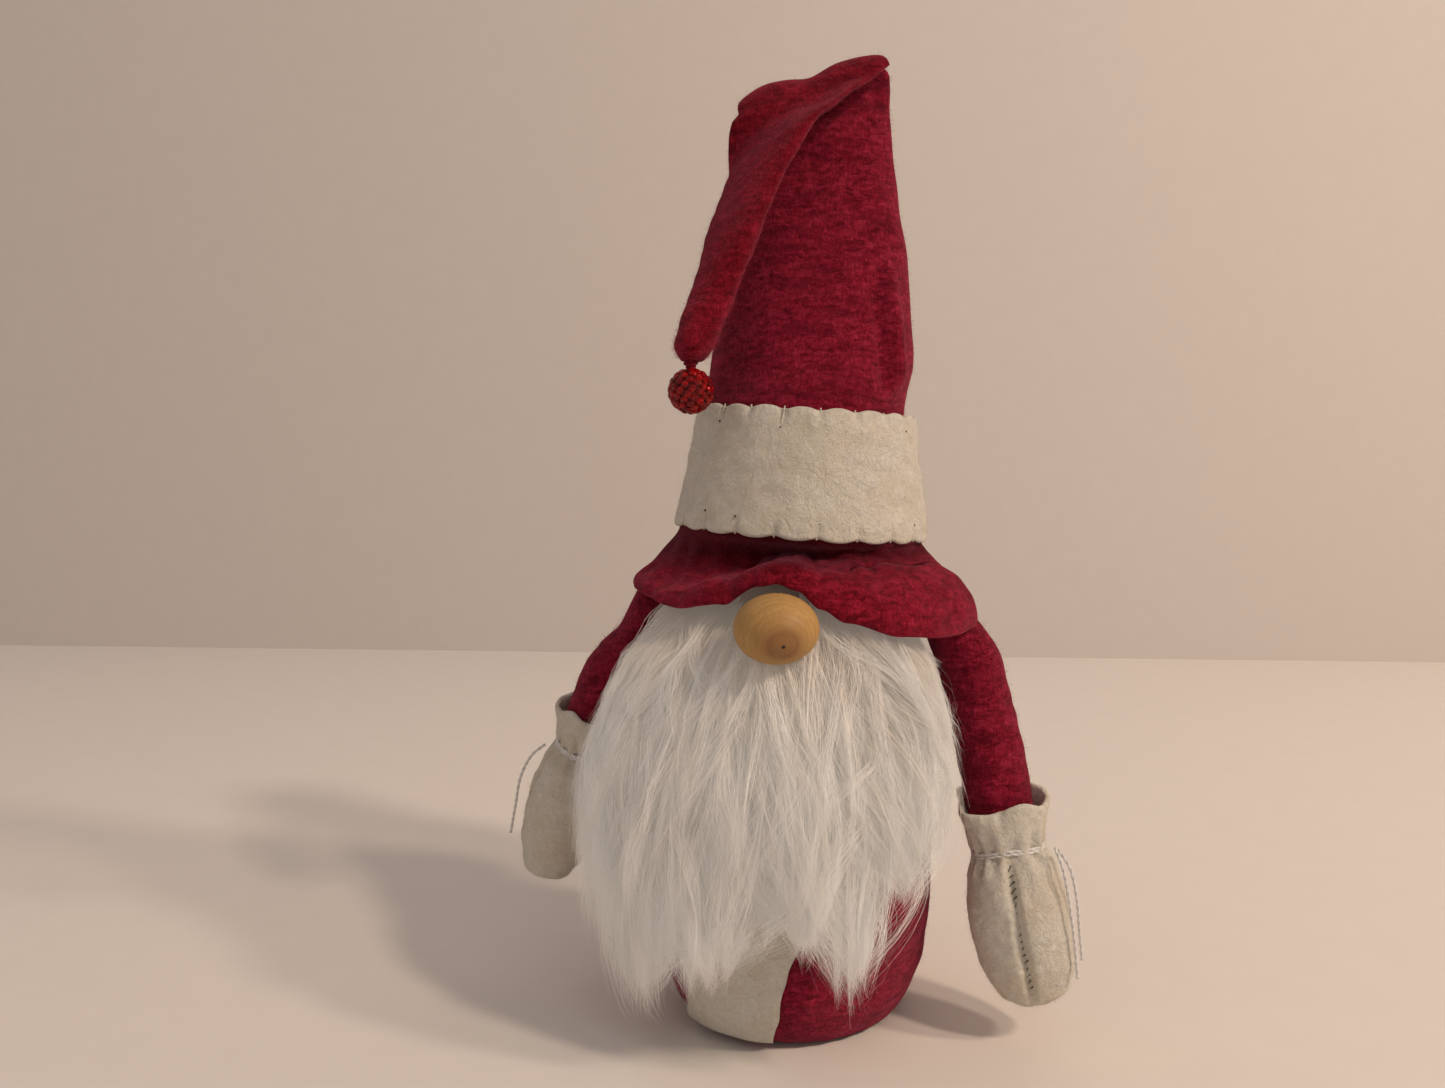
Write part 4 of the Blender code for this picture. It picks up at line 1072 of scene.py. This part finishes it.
def make_bead():
    """A ball set all over with small cut stones, on its thread collar."""
    low, high = (np.array(corner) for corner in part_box("bead"))
    centre = (low + high) / 2
    radius = (high[2] - low[2]) / 2
    core = radius * 0.90
    stones = []
    count = 96
    for i in range(count):
        height = 1 - 2 * (i + 0.5) / count
        spin = i * math.pi * (3 - math.sqrt(5))
        girth = math.sqrt(1 - height**2)
        out = np.array([girth * math.cos(spin), girth * math.sin(spin), height])
        stones.append(cut_stone(centre + out * core, out, 0.00125, radius * 1.02 - core))
    points, faces = joined(stones)
    crystal = bead_material("red_crystal", (0.30, 0.003, 0.006), 0.08)
    crystals = new_object("Bead_Stones", points, faces, crystal, "bead_drop", False)
    rows, columns = 24, 32
    lat = np.linspace(0, math.pi, rows)[:, None]
    lon = np.linspace(0, math.tau, columns, endpoint=False)[None]
    ball = np.stack([np.sin(lat) * np.cos(lon), np.sin(lat) * np.sin(lon), -np.cos(lat) + 0 * lon], -1)
    clay = bead_material("red_clay", (0.08, 0.002, 0.003), 0.5)
    base = new_object("Bead_Core", centre + ball * core, grid_faces(rows, columns), clay, "bead_drop")
    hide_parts("bead")
    low, high = (np.array(corner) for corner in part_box("bead_thread"))
    hang = (low + high) / 2
    parts = []
    for k in range(4):
        spin = np.linspace(0, math.tau, 25)
        level = hang[2] + 0.0016 - 0.0011 * k
        size = 0.0013 + 0.0004 * math.sin(k * 2)
        across, ahead = hang[0] + size * np.cos(spin), hang[1] + size * np.sin(spin)
        ring = np.stack([across, ahead, level + 0.0004 * np.sin(spin)], -1)
        parts.append(tube(ring, 0.0006, 8))
    points, faces = joined(parts)
    thread = new_object("Bead_Thread", points, faces, SHADED_TAIL_CLOTH, "bead_drop")
    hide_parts("bead_thread")


def cut_stone(place, out, size, rise):
    """A round-cut stone: an eight-sided girdle, a crown and a flat table."""
    side = unit(np.cross(out, [0.3, 0.5, 0.81]))
    other = np.cross(out, side)
    points = []
    for level, scale, start in ((-0.3, 0.7, 0.0), (0.25, 1.0, 0.0), (0.72, 0.78, 0.5), (1.0, 0.45, 0.0)):
        for k in range(8):
            angle = (k + start) * math.tau / 8
            way = side * math.cos(angle) + other * math.sin(angle)
            points.append(place + out * rise * level + size * scale * way)
    faces = grid_faces(4, 8)
    faces.append(tuple(24 + k for k in range(8)))
    faces.append(tuple(range(8))[::-1])
    return np.array(points), faces


# ---------------------------------------------------------------- arms

ARMS = {
    "left": {
        "root": (0.0440, 0.0, 0.1365),
        "pivot": (0.0550, 0.0, 0.1155),
        "bend": (0.0608, -0.0020, 0.0940),
        "wrist": (0.0662, -0.0075, 0.0690),
        "tip": (0.0770, -0.0120, 0.0130),
        "width": (1, 0, 0),
        "face": (0, -1, 0),
    },
    "right": {
        "root": (-0.0440, -0.0030, 0.1400),
        "pivot": (-0.0545, -0.0030, 0.1185),
        "bend": (-0.0655, -0.0030, 0.1065),
        "wrist": (-0.0735, -0.0030, 0.0895),
        "tip": (-0.0908, -0.0030, 0.0345),
        "width": (0.52, -0.86, 0),
        "face": (-0.86, -0.52, 0),
    },
}

MITTEN_PROFILE = (
    (-0.0085, 0.0140, 0.0122),
    (-0.0040, 0.0137, 0.0120),
    (0.0000, 0.0130, 0.0113),
    (0.0048, 0.0120, 0.0101),
    (0.0085, 0.0110, 0.0088),
    (0.0100, 0.0106, 0.0085),
    (0.0118, 0.0113, 0.0093),
    (0.0155, 0.0134, 0.0115),
    (0.0250, 0.0153, 0.0132),
    (0.0350, 0.0156, 0.0134),
    (0.0440, 0.0145, 0.0122),
    (0.0500, 0.0122, 0.0102),
    (0.0541, 0.0103, 0.0084),
    (0.0560, 0.0068, 0.0056),
    (0.0569, 0.0030, 0.0025),
    (0.0570, 0.0005, 0.0004),
)
TIE_AT = 0.0100
PROFILE_LENGTH = 0.0565


def limb_frame(path, width):
    """Side and depth directions for each point of a limb's line."""
    tangents = unit(np.gradient(path, axis=0))
    width = np.asarray(width, float)
    side = unit(width - tangents * (tangents @ width)[:, None])
    return tangents, side, np.cross(tangents, side)


def make_sleeve(side_name, arm):
    """A stuffed flannel sleeve, from under the brim into the mitten's cuff."""
    root, pivot, bend, wrist = (np.array(arm[k]) for k in ("root", "pivot", "bend", "wrist"))
    end = unit(wrist - bend)
    route = [root + [0, 0, 0.002], root + (pivot - root) * 0.45, pivot, pivot + (bend - pivot) * 0.55, bend,
             bend + (wrist - bend) * 0.55, wrist, wrist + end * 0.005]
    sizes = [(0.0062, 0.0070, 0), (0.0082, 0.0084, 0), (0.0098, 0.0092, 0), (0.0102, 0.0096, 0),
             (0.0106, 0.0096, 0), (0.0106, 0.0094, 0), (0.0100, 0.0088, 0), (0.0078, 0.0070, 0)]
    rows, columns = 90, 96
    line, size = catmull(route, rows), catmull(sizes, rows)
    _, side, depth = limb_frame(line, arm["width"])
    turn = np.linspace(0, math.tau, columns, endpoint=False)[None, :, None]
    grid = line[:, None] + np.cos(turn) * side[:, None] * size[:, None, :1]
    grid = grid + np.sin(turn) * depth[:, None] * size[:, None, 1:2]
    normals = grid_normals(grid)
    seed = 61 if side_name == "left" else 71
    share = np.linspace(0, 1, rows)[:, None]
    folds = 0.0004 * ripple(grid, 0.030, seed) + 0.0002 * ripple(grid, 0.009, seed + 1)
    at_elbow = np.exp(-(((share - 0.52) / 0.2) ** 2))
    wrinkles = 0.00015 * np.sin(share * 60 + 1.5 * np.cos(turn[..., 0])) * at_elbow
    grid = grid + normals * (folds + wrinkles)[..., None]
    obj = new_object(f"{side_name.title()}_Sleeve", grid, capped_faces(rows, columns), FLANNEL_CLOTH)
    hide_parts(f"{side_name}_sleeve", f"{side_name}_sleeve_tab")

    def hinge(piece):
        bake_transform(piece)

    hinge(obj)
    nap(f"{side_name.title()}_Sleeve_Nap", grid, 4000, 0.0014, FUZZ_RED, hinge, seed + 100)


def mitten_axis(arm):
    wrist, tip = np.array(arm["wrist"]), np.array(arm["tip"])
    direction = unit(tip - wrist)
    scale = np.linalg.norm(tip - wrist) / PROFILE_LENGTH
    side = unit(np.array(arm["width"], float) - direction * (np.array(arm["width"]) @ direction))
    face = unit(np.array(arm["face"], float) - direction * (np.array(arm["face"]) @ direction))
    return wrist, direction, side, face, scale


def mitten_surface(arm, along, turn, seed, out=0.0):
    """Points of a mitten's felt. turn 0 is one side and a quarter turn is the stitched face."""
    wrist, direction, side, face, scale = mitten_axis(arm)
    stops = np.array(MITTEN_PROFILE)
    half_width = np.interp(along, stops[:, 0], stops[:, 1])
    half_depth = np.interp(along, stops[:, 0], stops[:, 2])
    from_tie = np.abs(along - TIE_AT)
    gather = np.exp(-((from_tie / 0.0055) ** 2))
    pleats = 1 + gather * 0.075 * np.sin(turn * 13 + 1.3 * np.sin(turn * 2 + seed))
    mouth = smooth((-along + 0.006) / 0.010)
    flare = 1 + mouth * (0.08 * np.sin(turn * 3 + seed) + 0.06 * np.sin(turn * 5 + 2.2 * seed))
    cos_turn, sin_turn = np.cos(turn), np.sin(turn)
    width = half_width * np.sign(cos_turn) * np.abs(cos_turn) ** 0.92
    depth = half_depth * np.sign(sin_turn) * np.abs(sin_turn) ** 0.92
    below = smooth((along - TIE_AT) / 0.004)
    on_face = np.exp(-((half_width * cos_turn / 0.0011) ** 2)) * (np.abs(sin_turn) > 0.3)
    groove = 1 - (0.14 * below + 0.04) * on_face
    lift = (1 + out / np.maximum(half_width, 0.002)) * pleats * flare
    centre = wrist + direction * (along * scale)[..., None]
    return centre + side * (width * lift)[..., None] + face * (depth * lift * groove)[..., None]


def make_mitten(side_name, arm):
    """The felt mitten: puffed halves on each side of a sewn groove, and a flared cuff above the tie."""
    seed = 1.0 if side_name == "left" else 2.4
    rows, columns = 120, 144
    share = np.linspace(0, 1, rows)[:, None]
    turn = np.linspace(0, math.tau, columns, endpoint=False)[None]
    crumple = 0.0013 * np.sin(turn * 3 + seed) + 0.0006 * np.sin(turn * 5)
    mouth_line = -0.0052 + 0.0030 * np.sin(turn + 0.25 * seed) + crumple
    along = mouth_line + (0.0570 - mouth_line) * (1 - (1 - share) ** 1.25)
    grid = mitten_surface(arm, along, turn + 0 * share, seed)
    grid = grid[::-1]
    normals = grid_normals(grid)
    lumps = 0.0004 * ripple(grid, 0.014, 81 + int(seed)) + 0.00015 * ripple(grid, 0.005, 83)
    grid = grid + normals * lumps[..., None] * -1
    outward = np.sum((grid - grid.mean(axis=1, keepdims=True)) * grid_normals(grid)) > 0
    flip = not outward
    cuff_rows = 26
    cuff = grid[-cuff_rows:]
    cuff_normals = grid_normals(grid)[-cuff_rows:] * (1 if outward else -1)
    fold = []
    for k in range(1, 4):
        angle = math.pi * k / 4
        fold.append(cuff[-1] - cuff_normals[-1] * FELT * (1 - math.cos(angle)) / 2
                    + unit(cuff[-1] - cuff[-2]) * math.sin(angle) * FELT / 2)
    inside = (cuff - cuff_normals * FELT)[::-1]
    points = np.concatenate([grid, np.array(fold), inside])
    faces = grid_faces(len(points), columns, flip=flip)
    obj = new_object(f"{side_name.title()}_Mitten", points, faces, MITTEN_FELT, f"{side_name}_hand")
    out = grid_normals(grid) * (1 if outward else -1)
    move = riding(f"{side_name}_hand")
    nap(f"{side_name.title()}_Mitten_Nap", grid, 5000, 0.0014, FUZZ_WHITE, move, 160, out)
    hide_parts(f"{side_name}_mitten")
    make_seam_stitches(side_name, arm, seed)
    make_wrist_tie(side_name, arm)


def make_seam_stitches(side_name, arm, seed):
    """Small overcast stitches down the groove of the mitten's face, and dark plugs of painted shade in their
    needle holes.
    """
    threads, hole_shades = [], []
    stops = np.array(MITTEN_PROFILE)
    face = mitten_axis(arm)[3]
    rng = np.random.default_rng(int(seed * 10))
    for along in np.arange(0.0140, 0.0545, 0.0021):
        steps = np.linspace(-1, 1, 7)
        slant = rng.uniform(0.0002, 0.0007)
        half_width = np.interp(along, stops[:, 0], stops[:, 1])
        reach = rng.uniform(0.0003, 0.0006)
        turn = math.pi / 2 + steps * reach / half_width
        path = mitten_surface(arm, along + steps * slant, turn, seed)
        path = path + face * (0.00025 * (1 - steps**2) - 0.0001)[:, None]
        threads.append(tube(path, 0.00018, 6))
        # a dark plug in the needle hole: painted shade
        size = rng.uniform(0.00018, 0.00034)
        hole_shades.append(tube(np.array([path[0] - face * 0.0004, path[0], path[0] + face * 0.00015]), size, 8))
    for parts, name, surface, slot in (
        (threads, "Stitches", THREAD_OLIVE, "seam_thread"),
        (hole_shades, "Needle_Hole_Shade", NEEDLE_HOLE_SHADE, "felt"),
    ):
        points, faces = joined(parts)
        obj = new_object(f"{side_name.title()}_Mitten_{name}", points, faces, surface, f"{side_name}_hand")
        if parts is threads:
            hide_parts(f"{side_name}_mitten_stitching")


def plied(path, diameter, turns_per_m=420.0, plies=2):
    """Twisted plies round a path, as (points, faces)."""
    path = np.asarray(path, float)
    length = np.concatenate([[0], np.cumsum(np.linalg.norm(np.diff(path, axis=0), axis=1))])
    tangents = unit(np.gradient(path, axis=0))
    normal = unit(np.cross(tangents[0], [0.31, 0.87, 0.38]))
    parts = []
    normals, others = [], []
    for t in tangents:
        normal = unit(normal - t * (normal @ t))
        normals.append(normal)
        others.append(np.cross(t, normal))
    normals, others = np.array(normals), np.array(others)
    for ply in range(plies):
        angle = length * turns_per_m * math.tau / 2 + ply * math.tau / plies
        way = normals * np.cos(angle)[:, None] + others * np.sin(angle)[:, None]
        centre = path + way * diameter * 0.22
        parts.append(tube(centre, diameter * 0.29, 8))
    return joined(parts)


def make_wrist_tie(side_name, arm):
    """Yarn wound twice round the wrist."""
    wrist, direction, side, face, scale = mitten_axis(arm)
    centre = wrist + direction * TIE_AT * scale
    turn = np.linspace(0, 2 * math.tau, 150)
    lift = 0.0004
    wave = 0.0004 * np.sin(turn * 3)
    ring = (centre + np.outer(np.cos(turn) * (0.0106 + lift), side)
            + np.outer(np.sin(turn) * (0.0086 + lift), face)
            + np.outer((turn / math.tau - 1) * 0.0009 + wave, direction))
    parts = [plied(ring, YARN)]
    points, faces = joined(parts)
    obj = new_object(f"{side_name.title()}_Wrist_Tie", points, faces, YARN_WHITE, f"{side_name}_hand")
    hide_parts(f"{side_name}_wrist_tie")


YARN_TAILS = (
    ("left", 1, ((0.0150, -0.0030, 0.0020), (0.0185, -0.0060, -0.0030), (0.0205, -0.0060, -0.0120),
                 (0.0215, -0.0050, -0.0220), (0.0225, -0.0050, -0.0310))),
    ("left", 2, ((0.0138, -0.0060, 0.0035), (0.0162, -0.0092, -0.0020), (0.0182, -0.0098, -0.0120),
                 (0.0198, -0.0098, -0.0230), (0.0210, -0.0095, -0.0350))),
    ("right", 1, ((-0.0130, -0.0020, 0.0010), (-0.0175, -0.0040, -0.0030), (-0.0215, -0.0045, -0.0110),
                  (-0.0235, -0.0045, -0.0210), (-0.0255, -0.0045, -0.0310))),
)


def make_yarn_tails():
    """The loose ends of the wrist ties, as free cords of twisted yarn."""
    for side_name, number, offsets in YARN_TAILS:
        wrist, direction, _, _, scale = mitten_axis(ARMS[side_name])
        centre = wrist + direction * TIE_AT * scale
        path = catmull(centre + np.array(offsets), 80)
        points, faces = plied(path, YARN)
        name = f"{side_name.title()}_Yarn_Tail_{number}"
        obj = new_object(name, points, faces, YARN_WHITE, f"{side_name}_hand")
        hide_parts(f"{side_name}_yarn_tail_{number}")


def main():
    make_camera()
    make_yarn_tails()
    make_stage()
    make_light()
    dress_hidden_nodes()
    make_body()
    make_trim()
    make_beard()
    make_nose()
    make_cone()
    make_tail()
    make_brim()
    make_band()
    make_bead()
    for side_name, arm in ARMS.items():
        make_sleeve(side_name, arm)
        make_mitten(side_name, arm)


main()
